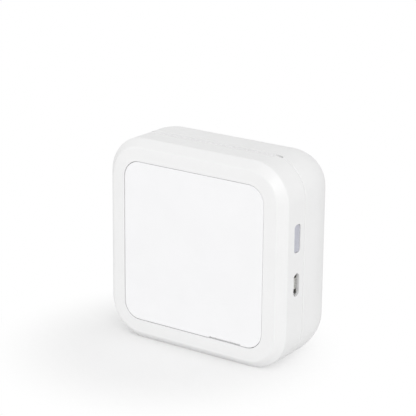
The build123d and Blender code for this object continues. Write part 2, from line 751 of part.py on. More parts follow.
def chassis_screws():
    length = CHASSIS_FRONT - INNER_FRONT + BOSS_LONG + 0.2
    return [screw_y(x, z, INNER_FRONT, length, SCREW_R, 1) for x, z in chassis_fixings()]


def board_screws():
    return [screw_y(x, z, BOARD_FRONT, BOARD_THICK + 3.0, BOARD_SCREW_R, 1) for x, z in board_fixings()]


def side_board_screws():
    return [screw_y(SIDE_FIX_X, z, SIDE_REAR, SIDE_THICK + 3.2, SIDE_SCREW_R, -1) for z in SIDE_FIX_Z]


def carrier_screws():
    far, z = CARRIER_FIX
    return [screw_y(x, z, BRIDGE_Y, BRIDGE_THICK + 4.4, SCREW_R, 1) for x in both_ways(far)]


def motor_screws():
    """Two small screws through the left side plate into the motor flange."""
    seat = -CHEEK_OUT
    screws = []
    for y, z in motor_ears():
        head = rod_x(y, z, 1.3, (seat - 0.6, seat))
        head -= block((seat - 0.7, seat - 0.3), around(y, 0.9), around(z, 0.15))
        screws.append(head + rod_x(y, z, MOTOR_SCREW_R, (seat - RUN, -CHEEK_IN + FLANGE)))
    return screws


# Gears


def involute_point(base, angle, turn):
    """Point of the involute of a base circle at an unrolled angle, turned about the centre."""
    x = base * (cos(angle) + angle * sin(angle))
    y = base * (sin(angle) - angle * cos(angle))
    return (x * cos(turn) - y * sin(turn), x * sin(turn) + y * cos(turn))


def gear_outline(teeth, phase):
    """Involute gear with one tooth centred at the phase angle in degrees."""
    pitch = MODULE * teeth / 2
    base = pitch * cos(PRESSURE)
    tip = tip_radius(teeth)
    root = pitch - 1.25 * MODULE
    half_tooth = pi / (2 * teeth) - TOOTH_SLACK / pitch + tan(PRESSURE) - PRESSURE
    last = sqrt((tip / base) ** 2 - 1)
    first = sqrt((root / base) ** 2 - 1) if root > base else 0.0
    angles = [first + (last - first) * i / 4 for i in range(5)]
    up = [involute_point(base, a, -half_tooth) for a in angles]
    down = [(x, -y) for x, y in reversed(up)]
    foot = atan2(up[0][1], up[0][0])
    blank = Circle(root)
    tooth_lines = [Polyline((0, 0), (root * cos(foot), root * sin(foot)), up[0]), Spline(*up)]
    tooth_lines.append(ThreePointArc(up[-1], (tip, 0), down[0]))
    tooth_lines += [Spline(*down), Polyline(down[-1], (root * cos(foot), -root * sin(foot)), (0, 0))]
    tooth = make_face(Curve() + tooth_lines)
    step = 360 / teeth
    for i in range(teeth):
        blank += Rot(0, 0, phase + i * step) * tooth
    return blank


def mesh_phase(phase, teeth, mate_teeth, direction):
    """Phase of a mate so that its space meets the tooth of the first gear."""
    return direction + 180 + 180 / mate_teeth - (phase - direction) * teeth / mate_teeth


PLATEN_PHASE = 180.0
IDLER_PHASE = mesh_phase(PLATEN_PHASE, PLATEN_TEETH, IDLER_TEETH, 180.0)
STEP_DIRECTION = degrees(atan2(STEP_Z - IDLER_Z, STEP_Y - IDLER_Y))
STEP_PHASE = mesh_phase(IDLER_PHASE, IDLER_TEETH, STEP_SMALL_TEETH, STEP_DIRECTION)
MOTOR_DIRECTION = degrees(atan2(MOTOR_Z - STEP_Z, MOTOR_Y - STEP_Y))
PINION_PHASE = mesh_phase(STEP_PHASE, STEP_LARGE_TEETH, PINION_TEETH, MOTOR_DIRECTION)


def gear(y, z, teeth, phase, x):
    return slab_x(Pos(y, z) * gear_outline(teeth, phase), x)


def platen_gear():
    body = gear(PLATEN_Y, PLATEN_Z, PLATEN_TEETH, PLATEN_PHASE, GEAR_ONE)
    return body - rod_x(PLATEN_Y, PLATEN_Z, SHAFT_R, wider(GEAR_ONE, 1))


def idler_gear():
    body = gear(IDLER_Y, IDLER_Z, IDLER_TEETH, IDLER_PHASE, GEAR_ONE)
    body += rod_x(IDLER_Y, IDLER_Z, HUB_R + 0.1, (GEAR_ONE[1] - 0.1, -CHEEK_OUT - RUN))
    return body - rod_x(IDLER_Y, IDLER_Z, POST_R + RUN, (GEAR_ONE[0] - 1, -CHEEK_OUT + 1))


def step_gear():
    """Reduction gear: a small wheel behind a large one."""
    body = gear(STEP_Y, STEP_Z, STEP_SMALL_TEETH, STEP_PHASE, (GEAR_TWO[1] - 0.1, GEAR_ONE[1]))
    body += gear(STEP_Y, STEP_Z, STEP_LARGE_TEETH, STEP_PHASE, GEAR_TWO)
    body += rod_x(STEP_Y, STEP_Z, HUB_R, (GEAR_ONE[1] - 0.1, -CHEEK_OUT - RUN))
    return body - rod_x(STEP_Y, STEP_Z, POST_R + RUN, (GEAR_TWO[0] - 1, -CHEEK_OUT + 1))


def motor_pinion():
    body = gear(MOTOR_Y, MOTOR_Z, PINION_TEETH, PINION_PHASE, GEAR_TWO)
    return body + rod_x(MOTOR_Y, MOTOR_Z, MOTOR_SHAFT_R, (GEAR_TWO[1] - 0.1, -CHEEK_IN - 0.2))


def gear_washers():
    """Push-on washers that keep the two idlers on their posts."""
    washers = []
    for y, z, x in ((IDLER_Y, IDLER_Z, GEAR_ONE[0]), (STEP_Y, STEP_Z, GEAR_TWO[0])):
        limits = (x - RUN - WASHER_THICK, x - RUN)
        washers.append(rod_x(y, z, HUB_R, limits) - rod_x(y, z, POST_R, wider(limits, 1)))
    return washers


# Platen


def platen_shaft():
    return rod_x(PLATEN_Y, PLATEN_Z, SHAFT_R, (GEAR_ONE[0] - 0.2, ARM_OUT + 0.3))


def platen_sleeve():
    limits = both_ways(PLATEN_HALF)
    body = rod_x(PLATEN_Y, PLATEN_Z, PLATEN_R, limits)
    body = chamfer(body.edges().filter_by(GeomType.CIRCLE), 0.3)
    return body - rod_x(PLATEN_Y, PLATEN_Z, SHAFT_R, wider(limits, 1))


def platen_bushes():
    bushes = []
    for sign in (-1, 1):
        limits = sorted((sign * (CHEEK_IN - 0.3), sign * ARM_OUT))
        bush = rod_x(PLATEN_Y, PLATEN_Z, BUSH_R, limits)
        bushes.append(bush - rod_x(PLATEN_Y, PLATEN_Z, SHAFT_R + RUN, wider(limits, 1)))
    return bushes


def platen_carrier():
    """Bridge behind the platen with two arms that hold its bushes."""
    rear = BRIDGE_Y + BRIDGE_THICK
    axis = Pos(PLATEN_Y, PLATEN_Z)
    arm = axis * Circle(ARM_R) + polygon((PLATEN_Y, PLATEN_Z + ARM_R), (rear, BRIDGE_HIGH), (rear, BRIDGE_LOW),
                                         (PLATEN_Y, PLATEN_Z - ARM_R))
    arm -= axis * Circle(BUSH_R)
    body = slab_x(arm, (-ARM_OUT, -ARM_IN)) + slab_x(arm, (ARM_IN, ARM_OUT))
    body += block(both_ways(ARM_OUT), (BRIDGE_Y, rear), (BRIDGE_LOW, BRIDGE_HIGH))
    far, z = CARRIER_FIX
    for x in both_ways(far):
        body -= rod_y(x, z, SCREW_R + 0.1, wider((BRIDGE_Y, rear), 1))
    return body


# Thermal head and motor


def heat_sink():
    """Aluminium bar with its two pivot pins and spring seats."""
    body = block(both_ways(HEAD_HALF), (SINK_FRONT, SINK_REAR), (SINK_LOW, SINK_HIGH))
    body = chamfer(body.edges().filter_by(Axis.X), 0.3)
    body += rod_x(PIVOT_Y, PIVOT_Z, PIVOT_R, wider(both_ways(CHEEK_OUT), -0.1))
    seat_r = SPRING_R - 2 * SPRING_WIRE - 0.1
    for x in both_ways(SPRING_X):
        body += rod_y(x, SPRING_Z, seat_r, (SINK_FRONT - 1.2, SINK_FRONT + 0.1))
    return body


def head_strip():
    """Ceramic strip with the raised glaze line that prints."""
    body = block(both_ways(STRIP_HALF), (SINK_REAR, STRIP_REAR), (STRIP_LOW, STRIP_HIGH))
    glaze_y = NIP_Y - HEAD_GAP - GLAZE_R
    return body + rod_x(glaze_y, PLATEN_Z, GLAZE_R, wider(both_ways(STRIP_HALF), -1))


def head_drivers():
    """Resin line over the driver chips, below the glaze line."""
    low = STRIP_LOW + 0.3
    return block(both_ways(DRIVER_HALF), (STRIP_REAR, STRIP_REAR + DRIVER_THICK), (low, low + DRIVER_HIGH))


def head_springs():
    """Two coil springs between chassis wall and heat sink."""
    start = CHASSIS_FRONT + CHASSIS_WALL + SPRING_WIRE
    length = SINK_FRONT - SPRING_WIRE - start
    springs = []
    for x in both_ways(SPRING_X):
        coil = Helix(pitch=length / SPRING_TURNS, height=length, radius=SPRING_R - SPRING_WIRE)
        wire = Plane(origin=coil @ 0, z_dir=coil % 0) * Circle(SPRING_WIRE)
        spring = sweep(wire, path=coil, is_frenet=True)
        springs.append(Pos(x, start, SPRING_Z) * Rot(-90, 0, 0) * spring)
    return springs


def socket_slot():
    """Y of the slot in the ribbon sockets at the board's upper edge."""
    return BOARD_REAR + SOCKET_HIGH / 2 + RUN


def head_ribbon():
    """Flat cable from the ceramic strip over the bar and down to the main board."""
    drop = STRIP_REAR - 0.5
    under = SINK_LOW - 0.5
    fall = CHASSIS_FRONT + CHASSIS_WALL + 1.6
    slot = socket_slot()
    points = [(drop, STRIP_LOW - RIBBON / 2), (drop, under), (fall, under), (fall, BOARD_HIGH + 1.6),
              (slot, BOARD_HIGH - 0.3), (slot, BOARD_HIGH - 1.7)]
    return slab_x(strap(points), HEAD_RIBBON_X)


def stepper_motor():
    """Motor can with flange, front boss and shaft hole."""
    start = -CHEEK_IN
    body = rod_x(MOTOR_Y, MOTOR_Z, MOTOR_R, (start + FLANGE, start + MOTOR_LONG))
    body = fillet(body.edges().group_by(Axis.X)[-1], 0.6)
    flange = Pos(MOTOR_Y, MOTOR_Z) * Circle(MOTOR_R)
    for y, z in motor_ears():
        flange += Pos(y, z) * Circle(MOTOR_EAR_R)
        middle = ((y + MOTOR_Y) / 2, (z + MOTOR_Z) / 2)
        lean = degrees(atan2(z - MOTOR_Z, y - MOTOR_Y))
        flange += Pos(*middle) * Rot(0, 0, lean) * Rectangle(MOTOR_EAR, 2 * MOTOR_EAR_R)
    body += slab_x(flange, (start, start + FLANGE))
    body += rod_x(MOTOR_Y, MOTOR_Z, MOTOR_BOSS_R, (start - 0.9, start + 0.1))
    body -= rod_x(MOTOR_Y, MOTOR_Z, MOTOR_SHAFT_R + RUN, around(start, 1))
    for y, z in motor_ears():
        body -= rod_x(y, z, MOTOR_SCREW_R + RUN, (start - 0.1, start + FLANGE + 0.5))
    return body


def motor_ribbon():
    """Short flat cable from the motor to its connector."""
    slot = socket_slot()
    points = [(slot + 1.0, BOARD_HIGH + 0.5), (slot, BOARD_HIGH - 0.7), (slot, BOARD_HIGH - 1.9)]
    return slab_x(strap(points), around(MOTOR_SOCKET_X, MOTOR_RIBBON_HALF))


# Electronics


def main_board():
    body = block(both_ways(BOARD_HALF), (BOARD_FRONT, BOARD_REAR), (BOARD_LOW, BOARD_HIGH))
    body = fillet(body.edges().filter_by(Axis.Y), 1.0)
    for x, z in board_fixings():
        body -= rod_y(x, z, BOARD_SCREW_R + 0.15, wider((BOARD_FRONT, BOARD_REAR), 1))
    return body


def on_board(x, z, high):
    """Part that stands on the rear face of the main board."""
    return block(x, (BOARD_REAR, BOARD_REAR + high), z)


def board_chips():
    """Three chips and two small parts between the sockets."""
    low = BOARD_LOW + 0.1
    high = BOARD_HIGH - 5.5
    return [
        on_board((-8, -1), (low, low + 6.8), CHIP_HIGH),
        on_board((8.4 - BOARD_HALF, 14.4 - BOARD_HALF), (low + 0.6, low + 5.4), CHIP_HIGH),
        on_board((UPPER_ROW, UPPER_ROW + 3.4), (high, high + 3.6), CHIP_HIGH),
        on_board((UPPER_ROW + 4.9, UPPER_ROW + 8.2), (high + 0.6, high + 3.1), CHIP_HIGH + 0.2),
        on_board((14.5 - CHEEK_IN, 15.7 - CHEEK_IN), (high + 1.2, high + 3.4), CHIP_HIGH - 0.3),
    ]


def radio_can():
    body = on_board((2, 14), (BOARD_LOW + 0.3, ROW_TOP), CAN_HIGH)
    return chamfer(body.faces().sort_by(Axis.Y)[-1].edges(), 0.25)


def ribbon_socket(x):
    """Socket at the board's upper edge with a slot for a flat cable."""
    body = on_board(wider(x, 0.6), (BOARD_HIGH - 4.9, BOARD_HIGH - 1.3), SOCKET_HIGH)
    slot = around(socket_slot(), RIBBON / 2 + 0.12)
    return body - block(wider(x, 0.1), slot, (BOARD_HIGH - 2.4, BOARD_HIGH - 1))


def board_connectors():
    """Sockets for head ribbon, motor ribbon, side ribbon and battery."""
    head = ribbon_socket(HEAD_RIBBON_X)
    motor = ribbon_socket(around(MOTOR_SOCKET_X, MOTOR_RIBBON_HALF))
    side_x = BOARD_HALF - 8.2
    side = on_board((side_x, side_x + 4.2), (SIDE_Z[0] - 0.8, SIDE_Z[0] + 2.0), RIBBON_SOCKET_HIGH)
    battery = on_board(around(LEAD_X, 1.8), (BOARD_LOW + 0.1, BOARD_LOW + 3.5), 2.4)
    for x in around(LEAD_X, LEAD_SPAN):
        hole_y = around(LEAD_END_Y, LEAD_R + 0.1)
        battery -= block(around(x, LEAD_R + 0.1), hole_y, (BOARD_LOW - 0.5, LEAD_END_Z))
    return [head, motor, side, battery]


def side_board():
    body = block(SIDE_X, (SIDE_FRONT, SIDE_REAR), SIDE_Z)
    body = fillet(body.edges().filter_by(Axis.Y), 0.8)
    for z in SIDE_FIX_Z:
        body -= rod_y(SIDE_FIX_X, z, SIDE_SCREW_R + 0.1, wider((SIDE_FRONT, SIDE_REAR), 1))
    return body


def side_ribbon():
    """Flat cable from the main board round to the side board."""
    near = BOARD_REAR + RIBBON_SOCKET_HIGH + RIBBON / 2
    far = SIDE_FRONT - RIBBON / 2
    points = [(BOARD_HALF - 7.6, near), (SIDE_X[0] - 0.1, near), (SIDE_X[0] + 1.0, far), (SIDE_X[1] - 0.4, far)]
    return extrude(Pos(0, 0, SIDE_Z[0] + 0.2) * strap(points), amount=1.6)


def switch_body():
    body = block(SWITCH_X, (SIDE_REAR, SIDE_REAR + PORT_THICK), around(BUTTON_Z, SWITCH_HALF))
    return body - capsule_x(PORT_Y, BUTTON_Z, 1.7, 2.7, (SWITCH_X[1] - 0.8, SWITCH_X[1] + 1))


def switch_plunger():
    return capsule_x(PORT_Y, BUTTON_Z, 1.6, 2.6, (SWITCH_X[1] - 0.2, FLANGE_X[0]))


def power_button():
    """Rounded cap with a wider flange that rests against the inside of the wall."""
    cap = button_x(0.0, (FLANGE_X[0], BUTTON_END))
    cap = fillet(cap.edges().group_by(Axis.X)[-1], BUTTON_SOFT)
    return cap + button_x(BUTTON_RIM, FLANGE_X)


def status_lamp():
    base = SIDE_REAR + 0.7
    body = block(LAMP_X, (SIDE_REAR, base), LAMP_Z)
    return body + block(wider(LAMP_X, -0.2), (base - 0.1, base + 0.25), wider(LAMP_Z, -0.4))


def usb_section():
    """(Y, Z) outline of the socket shell, narrower on the board side."""
    half = USB_HIGH / 2
    rear = SIDE_REAR + PORT_THICK
    taper, rise = USB_TAPER
    return polygon((SIDE_REAR, USB_Z - half + taper), (SIDE_REAR, USB_Z + half - taper),
                   (SIDE_REAR + rise, USB_Z + half), (rear, USB_Z + half), (rear, USB_Z - half),
                   (SIDE_REAR + rise, USB_Z - half))


def usb_shell():
    """Folded steel shell of the micro-USB socket."""
    start = USB_END - USB_LONG
    body = fillet(slab_x(usb_section(), (start, USB_END)).edges().filter_by(Axis.X), 0.35)
    hollow = offset(usb_section(), amount=-USB_SHEET)
    return body - slab_x(hollow, (start + 0.4, USB_END + 1))


def usb_tongue():
    """Plastic tongue with its root, inside the socket shell, near its wide side."""
    start = USB_END - USB_LONG + 0.4
    half = USB_HIGH / 2 - 1.7
    board_side = SIDE_REAR + USB_SHEET
    wide_side = SIDE_REAR + PORT_THICK - USB_SHEET
    body = block((start, USB_END - 0.6), (wide_side - 0.75, wide_side - 0.15), around(USB_Z, half))
    return body + block((start, start + 1.0), (board_side + RUN, wide_side - 0.15), around(USB_Z, half + 0.3))


def battery_cell():
    body = block(both_ways(CELL_HALF), (CELL_FRONT, CELL_FRONT + CELL_THICK), (CELL_LOW, CELL_HIGH))
    return fillet(body.edges().filter_by(Axis.X), CELL_ROUND)


def battery_tape():
    middle = (CELL_LOW + CELL_HIGH) / 2
    half = TAPE_SHARE * (CELL_HIGH - CELL_LOW) / 2
    return block(both_ways(CELL_HALF - 5.0), (INNER_FRONT, CELL_FRONT), around(middle, half))


def battery_leads():
    """Two insulated wires from the cell up to their connector."""
    wires = []
    for x in around(LEAD_X, LEAD_SPAN):
        start = (x, LEAD_END_Y + 1.4, CELL_HIGH)
        middle = (x, LEAD_END_Y + 0.8, CELL_HIGH + 2.9)
        line = Spline(start, middle, (x, LEAD_END_Y, LEAD_END_Z), tangents=((0, 0, 1), (0, 0, 1)))
        wires.append(sweep(Plane(origin=line @ 0, z_dir=line % 0) * Circle(LEAD_R), path=line))
    return wires


# Everything together

NODES = {
    "front_shell": front_shell,
    "face_plate": face_plate,
    "rear_cover": rear_cover,
    "hinge_pin": hinge_pin,
    "tear_bar": tear_bar,
    "chassis": chassis,
    "paper_sensor": paper_sensor,
    "platen_carrier": platen_carrier,
    "platen_bushes": platen_bushes,
    "platen_shaft": platen_shaft,
    "platen_sleeve": platen_sleeve,
    "platen_gear": platen_gear,
    "idler_gear": idler_gear,
    "step_gear": step_gear,
    "motor_pinion": motor_pinion,
    "gear_washers": gear_washers,
    "stepper_motor": stepper_motor,
    "motor_ribbon": motor_ribbon,
    "heat_sink": heat_sink,
    "head_strip": head_strip,
    "head_drivers": head_drivers,
    "head_springs": head_springs,
    "head_ribbon": head_ribbon,
    "main_board": main_board,
    "board_chips": board_chips,
    "radio_can": radio_can,
    "board_connectors": board_connectors,
    "side_board": side_board,
    "side_ribbon": side_ribbon,
    "switch_body": switch_body,
    "switch_plunger": switch_plunger,
    "power_button": power_button,
    "status_lamp": status_lamp,
    "usb_shell": usb_shell,
    "usb_tongue": usb_tongue,
    "battery_cell": battery_cell,
    "battery_tape": battery_tape,
    "battery_leads": battery_leads,
    "chassis_screws": chassis_screws,
    "board_screws": board_screws,
    "side_board_screws": side_board_screws,
    "carrier_screws": carrier_screws,
    "motor_screws": motor_screws,
}


def main():
    os.makedirs("parts", exist_ok=True)
    for name, make in NODES.items():
        made = make()
        solids = made if isinstance(made, list) else [made]
        solids = [solid for piece in solids for solid in piece.solids()]
        shape = solids[0] if len(solids) == 1 else Compound(children=solids)
        shape.label = name
        export_step(shape, f"parts/{name}.step")


main()
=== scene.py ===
from math import cos, pi, radians, sin

import bpy
import numpy as np
from mathutils import Matrix, Vector


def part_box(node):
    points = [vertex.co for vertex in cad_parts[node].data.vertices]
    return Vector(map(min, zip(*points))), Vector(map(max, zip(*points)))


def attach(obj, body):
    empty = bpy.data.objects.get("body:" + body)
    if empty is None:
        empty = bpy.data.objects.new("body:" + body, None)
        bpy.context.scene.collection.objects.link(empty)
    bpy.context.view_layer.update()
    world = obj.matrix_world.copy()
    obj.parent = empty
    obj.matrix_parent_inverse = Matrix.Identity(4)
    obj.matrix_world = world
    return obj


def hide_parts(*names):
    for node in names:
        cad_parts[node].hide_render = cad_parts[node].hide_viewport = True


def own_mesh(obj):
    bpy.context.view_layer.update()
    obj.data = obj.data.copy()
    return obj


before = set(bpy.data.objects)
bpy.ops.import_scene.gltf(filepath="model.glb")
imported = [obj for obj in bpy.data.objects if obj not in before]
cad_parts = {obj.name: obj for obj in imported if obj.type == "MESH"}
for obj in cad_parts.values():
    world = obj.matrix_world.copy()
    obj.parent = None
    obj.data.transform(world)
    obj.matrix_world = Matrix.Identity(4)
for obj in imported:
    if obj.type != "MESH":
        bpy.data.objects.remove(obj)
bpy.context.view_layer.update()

# A portable thermal printer, dressed over its solids: two white housing halves, a clip-on face plate,
# a frosted button, a USB socket, and the printing works inside.
# Metres, Z up, the front panel faces -Y. The solids give the sizes and places.

bl_info = {
    "name": "Portable thermal printer",
    "version": (1, 0, 0),
    "blender": (4, 5, 0),
    "location": "View3D > Sidebar > Printer",
    "description": "Finishes and fine pieces for a portable thermal printer, with a studio",
    "category": "Object",
}

MM = 0.001
MIDDLE = Vector((0.0, 0.0, 39.5 * MM))
# The camera's frame: pixels across the image, and millimetres across the sensor
PHOTO_WIDTH = 416
SENSOR = 36.0
# Edges that turn by more than this stay sharp
SHARP = radians(40)
SPRING_TURNS = 5.5
# A wave texture's scale times its period, because it runs through twenty radians in a unit
WAVE = 2 * pi / 20
FLOOR_HALF = 4.0
# The floor's patch that shows the shadow: its middle, and where it starts and stops fading
SHADOW_MIDDLE = (-12 * MM, -20 * MM, 0.0)
SHADOW_INNER = 25 * MM
SHADOW_OUTER = 70 * MM


# Settings that a user would change


def colour_setting(name, description, value):
    """An sRGB colour as a hex string."""
    return bpy.props.StringProperty(name=name, description=description, default=value)


def length_setting(name, description, millimetres):
    """A length, shown with its unit."""
    return bpy.props.FloatProperty(name=name, description=description, default=millimetres * MM, precision=5,
                                   subtype="DISTANCE", unit="LENGTH", min=0.0)


def angle_setting(name, description, degrees):
    """An angle, shown in degrees."""
    return bpy.props.FloatProperty(name=name, description=description, default=radians(degrees),
                                   subtype="ANGLE", unit="ROTATION")


def number_setting(name, description, value):
    """A plain number."""
    return bpy.props.FloatProperty(name=name, description=description, default=value, min=0.0)


class HousingSettings(bpy.types.PropertyGroup):
    """Colours and grain of the outer plastic, and the button's shape."""
    shell: colour_setting("Shell", "Colour of the two housing halves", "#F1F1F1")
    plate: colour_setting("Face plate", "Colour of the clip-on plate", "#F7F7F8")
    carrier: colour_setting("Carrier", "Colour of the roller's carrier", "#E6E6E3")
    grain: length_setting("Grain", "Size of the moulded plastic's fine texture", 0.25)
    button: colour_setting("Button", "Colour of the frosted power button", "#C0C1CB")
    button_corner: length_setting("Button corner", "Corner radius of the power button", 1.2)
    button_crown: length_setting("Button crown", "How far the button's face is domed", 0.1)


class WorksSettings(bpy.types.PropertyGroup):
    """Colours of the printing works, and the springs' wire."""
    chassis: colour_setting("Chassis", "Colour of the moulded chassis", "#2B2C2F")
    rubber: colour_setting("Roller", "Colour of the platen's rubber", "#2C2C2E")
    gear: colour_setting("Gears", "Colour of the acetal gears", "#ECEAE2")
    steel: colour_setting("Steel", "Colour of the bare steel parts", "#B9B9B7")
    sink: colour_setting("Heat sink", "Colour of the anodised heat sink", "#B4B6B8")
    wire: length_setting("Spring wire", "Radius of the head springs' wire", 0.22)


class CircuitSettings(bpy.types.PropertyGroup):
    """Colours and sizes of the boards, their chips and the cell."""
    mask: colour_setting("Board", "Colour of the solder mask", "#1E5C3B")
    foil: colour_setting("Cell", "Colour of the battery pouch", "#C3C5C8")
    seam: length_setting("Cell seam", "Width of the pouch's sealed ends", 1.6)
    seam_thick: length_setting("Seam thickness", "Thickness of the pouch's sealed ends", 0.4)
    leg_pitch: length_setting("Leg pitch", "Distance between a chip's legs", 0.65)


class StudioSettings(bpy.types.PropertyGroup):
    """Camera and lamps."""
    azimuth: angle_setting("Azimuth", "Camera's turn to the right of the front", 34.92)
    elevation: angle_setting("Elevation", "Camera's height above the horizon", 17.45)
    roll: angle_setting("Roll", "Camera's turn about its own axis", 0.54)
    distance: length_setting("Distance", "From the object's middle to the camera", 664.0)
    lens: number_setting("Lens", "Focal length in millimetres on a 36 mm wide sensor", 152.8)
    middle_x: number_setting("Middle across", "Pixel column of the object's middle", 221.95)
    middle_y: number_setting("Middle down", "Pixel row of the object's middle", 240.7)
    sky: number_setting("Sky", "Strength of the even light from all round", 0.72)
    key: number_setting("Key lamp", "Power of the lamp at the front left, in watts", 2.3)
    edge: number_setting("Edge lamp", "Power of the large lamp above the front edge, in watts", 16.0)
    fill: number_setting("Fill lamp", "Power of the lamp at the right, in watts", 2.1)
    shadow: bpy.props.FloatProperty(name="Shadow", description="How much of the real shadow the floor shows",
                                    default=0.75, min=0.0, max=1.0, subtype="FACTOR")


def settings(name):
    """One group of the settings above."""
    return getattr(bpy.context.scene, name)


# Shaders


def linear(text):
    """An sRGB hex colour as the four linear numbers that a shader takes."""
    parts = [int(text[i:i + 2], 16) / 255 for i in (1, 3, 5)]
    return tuple(p / 12.92 if p <= 0.04045 else ((p + 0.055) / 1.055) ** 2.4 for p in parts) + (1.0,)


def shade(colour, factor):
    """A hex colour made darker or lighter by a factor."""
    parts = [min(255, round(int(colour[i:i + 2], 16) * factor)) for i in (1, 3, 5)]
    return "#" + "".join(f"{part:02X}" for part in parts)


def add(tree, kind, sockets=None, **options):
    """Adds a node with its settings; each socket gets a value or another node's output."""
    node = tree.nodes.new(kind)
    for key, value in options.items():
        setattr(node, key, value)
    for key, value in (sockets or {}).items():
        if isinstance(value, bpy.types.NodeSocket):
            tree.links.new(value, node.inputs[key])
        else:
            node.inputs[key].default_value = value
    return node


class Finish:
    """A material with one surface shader, and the effects that are laid over it."""

    def __init__(self, name, colour, roughness, **sockets):
        self.material = bpy.data.materials.new(name)
        self.material.use_nodes = True
        self.tree = self.material.node_tree
        self.tree.nodes.clear()
        values = {"Base Color": linear(colour), "Roughness": roughness}
        values.update({key.replace("_", " "): value for key, value in sockets.items()})
        self.shader = add(self.tree, "ShaderNodeBsdfPrincipled", values)
        add(self.tree, "ShaderNodeOutputMaterial", {"Surface": self.shader.outputs["BSDF"]})
        self.point = add(self.tree, "ShaderNodeTexCoord").outputs["Object"]

    def follow(self, value, tint=(), gloss=(), relief=0.0):
        """Lets the surface follow a value from 0 to 1: its colour through (position, hex colour) stops, its
        roughness from the first to the second of gloss, and its height by relief, in metres."""
        if tint:
            ramp = add(self.tree, "ShaderNodeValToRGB", {"Fac": value})
            elements = ramp.color_ramp.elements
            while len(elements) < len(tint):
                elements.new(0.5)
            for element, (position, colour) in zip(elements, tint):
                element.position = position
                element.color = linear(colour)
            self.tree.links.new(ramp.outputs["Color"], self.shader.inputs["Base Color"])
        if gloss:
            # Soft noise seldom leaves the middle third of its range
            ends = {"From Min": 0.35, "From Max": 0.65, "To Min": gloss[0], "To Max": gloss[1]}
            spread = add(self.tree, "ShaderNodeMapRange", {"Value": value, **ends})
            self.tree.links.new(spread.outputs["Result"], self.shader.inputs["Roughness"])
        if relief:
            bump = add(self.tree, "ShaderNodeBump", {"Height": value, "Distance": relief})
            self.tree.links.new(bump.outputs["Normal"], self.shader.inputs["Normal"])

    def clouds(self, size, detail=3.0, stretch=(1.0, 1.0, 1.0), seed=0.0, **effects):
        """Lays soft noise over the surface, its blobs about size metres across and drawn out where stretch
        is small, and lets the named effects follow it."""
        place = add(self.tree, "ShaderNodeMapping",
                    {"Vector": self.point, "Scale": stretch, "Location": (seed, seed, seed)})
        noise = add(self.tree, "ShaderNodeTexNoise",
                    {"Vector": place.outputs[0], "Scale": 1 / size, "Detail": detail})
        self.follow(noise.outputs["Fac"], **effects)


# Meshes


def surface(name, points, around=False, caps=False):
    """Mesh from points on a grid, or from many grids alike.

    The points' axes are copies, rows, columns and XYZ. Each cell becomes a four-sided face.
    The columns may close into a ring, and then the first and last rows may be capped."""
    points = np.asarray(points, dtype=float)
    points = points[None] if points.ndim == 3 else points
    copies, rows, columns = points.shape[:3]
    ids = np.arange(copies * rows * columns).reshape(copies, rows, columns)
    wide = np.concatenate([ids, ids[:, :, :1]], axis=2) if around else ids
    faces = np.stack([wide[:, :-1, :-1], wide[:, :-1, 1:], wide[:, 1:, 1:], wide[:, 1:, :-1]], axis=-1)
    faces = faces.reshape(-1, 4)
    ends = np.concatenate([ids[:, 0, ::-1], ids[:, -1]]) if caps else np.zeros((0, 3), dtype=int)
    mesh = bpy.data.meshes.new(name)
    mesh.from_pydata(points.reshape(-1, 3).tolist(), [], faces.tolist() + ends.tolist())
    mesh.update()
    return mesh


def piece(name, mesh, finish, body, slot, *replaced):
    """Puts a mesh in the scene with its finish, riding on a body."""
    mesh.materials.append(finish.material)
    mesh.shade_smooth()
    mesh.set_sharp_from_angle(angle=SHARP)
    obj = bpy.data.objects.new(name, mesh)
    bpy.context.scene.collection.objects.link(obj)
    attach(obj, body)
    if replaced:
        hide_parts(*replaced)
    return obj


def dress(finish, *nodes):
    """Gives solids their finish."""
    for name in nodes:
        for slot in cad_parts[name].material_slots:
            slot.material = finish.material


def box_mm(node):
    """Lowest and highest corner of a node, in millimetres."""
    low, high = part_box(node)
    return np.array(low) / MM, np.array(high) / MM


def rounded_outline(half_wide, half_high, corner, count=12):
    """Closed outline of a rounded rectangle, as two rows of numbers.

    Each quarter of a turn is an arc of the corner radius about its own corner's centre; the straight sides
    are the steps between the arcs."""
    quarter = np.linspace(0, np.pi / 2, count)
    angle = np.concatenate([quarter + turn * np.pi / 2 for turn in range(4)])
    side = np.repeat([[1, 1], [-1, 1], [-1, -1], [1, -1]], count, axis=0)
    across = side[:, 0] * (half_wide - corner) + corner * np.cos(angle)
    up = side[:, 1] * (half_high - corner) + corner * np.sin(angle)
    return across, up


# Housing


def moulded_abs(name, colour, grain):
    """ABS moulded in a finely eroded tool: even white with a soft satin gloss, and slow cooling marks
    that let the gloss drift a little. The real grain of 0.05 mm is drawn at 0.25 mm, so that it shows."""
    finish = Finish(name, colour, 0.4, IOR=1.53)
    finish.clouds(18 * MM, tint=((0.3, shade(colour, 0.992)), (0.7, colour)))
    finish.clouds(7 * MM, seed=0.3, gloss=(0.34, 0.44))
    finish.clouds(grain, 2.0, relief=0.0015 * MM)
    return finish


class PRINTER_OT_housing(bpy.types.Operator):
    """Finishes the housing halves, the face plate and the roller's carrier"""
    bl_idname = "printer.housing"
    bl_label = "Housing"

    def execute(self, context):
        s = settings("printer_housing")
        dress(moulded_abs("moulded_abs_white", s.shell, s.grain), "front_shell", "rear_cover")
        dress(moulded_abs("moulded_abs_plate", s.plate, s.grain), "face_plate")
        dress(moulded_abs("moulded_abs_carrier", s.carrier, s.grain), "platen_carrier")
        return {"FINISHED"}


# Power button


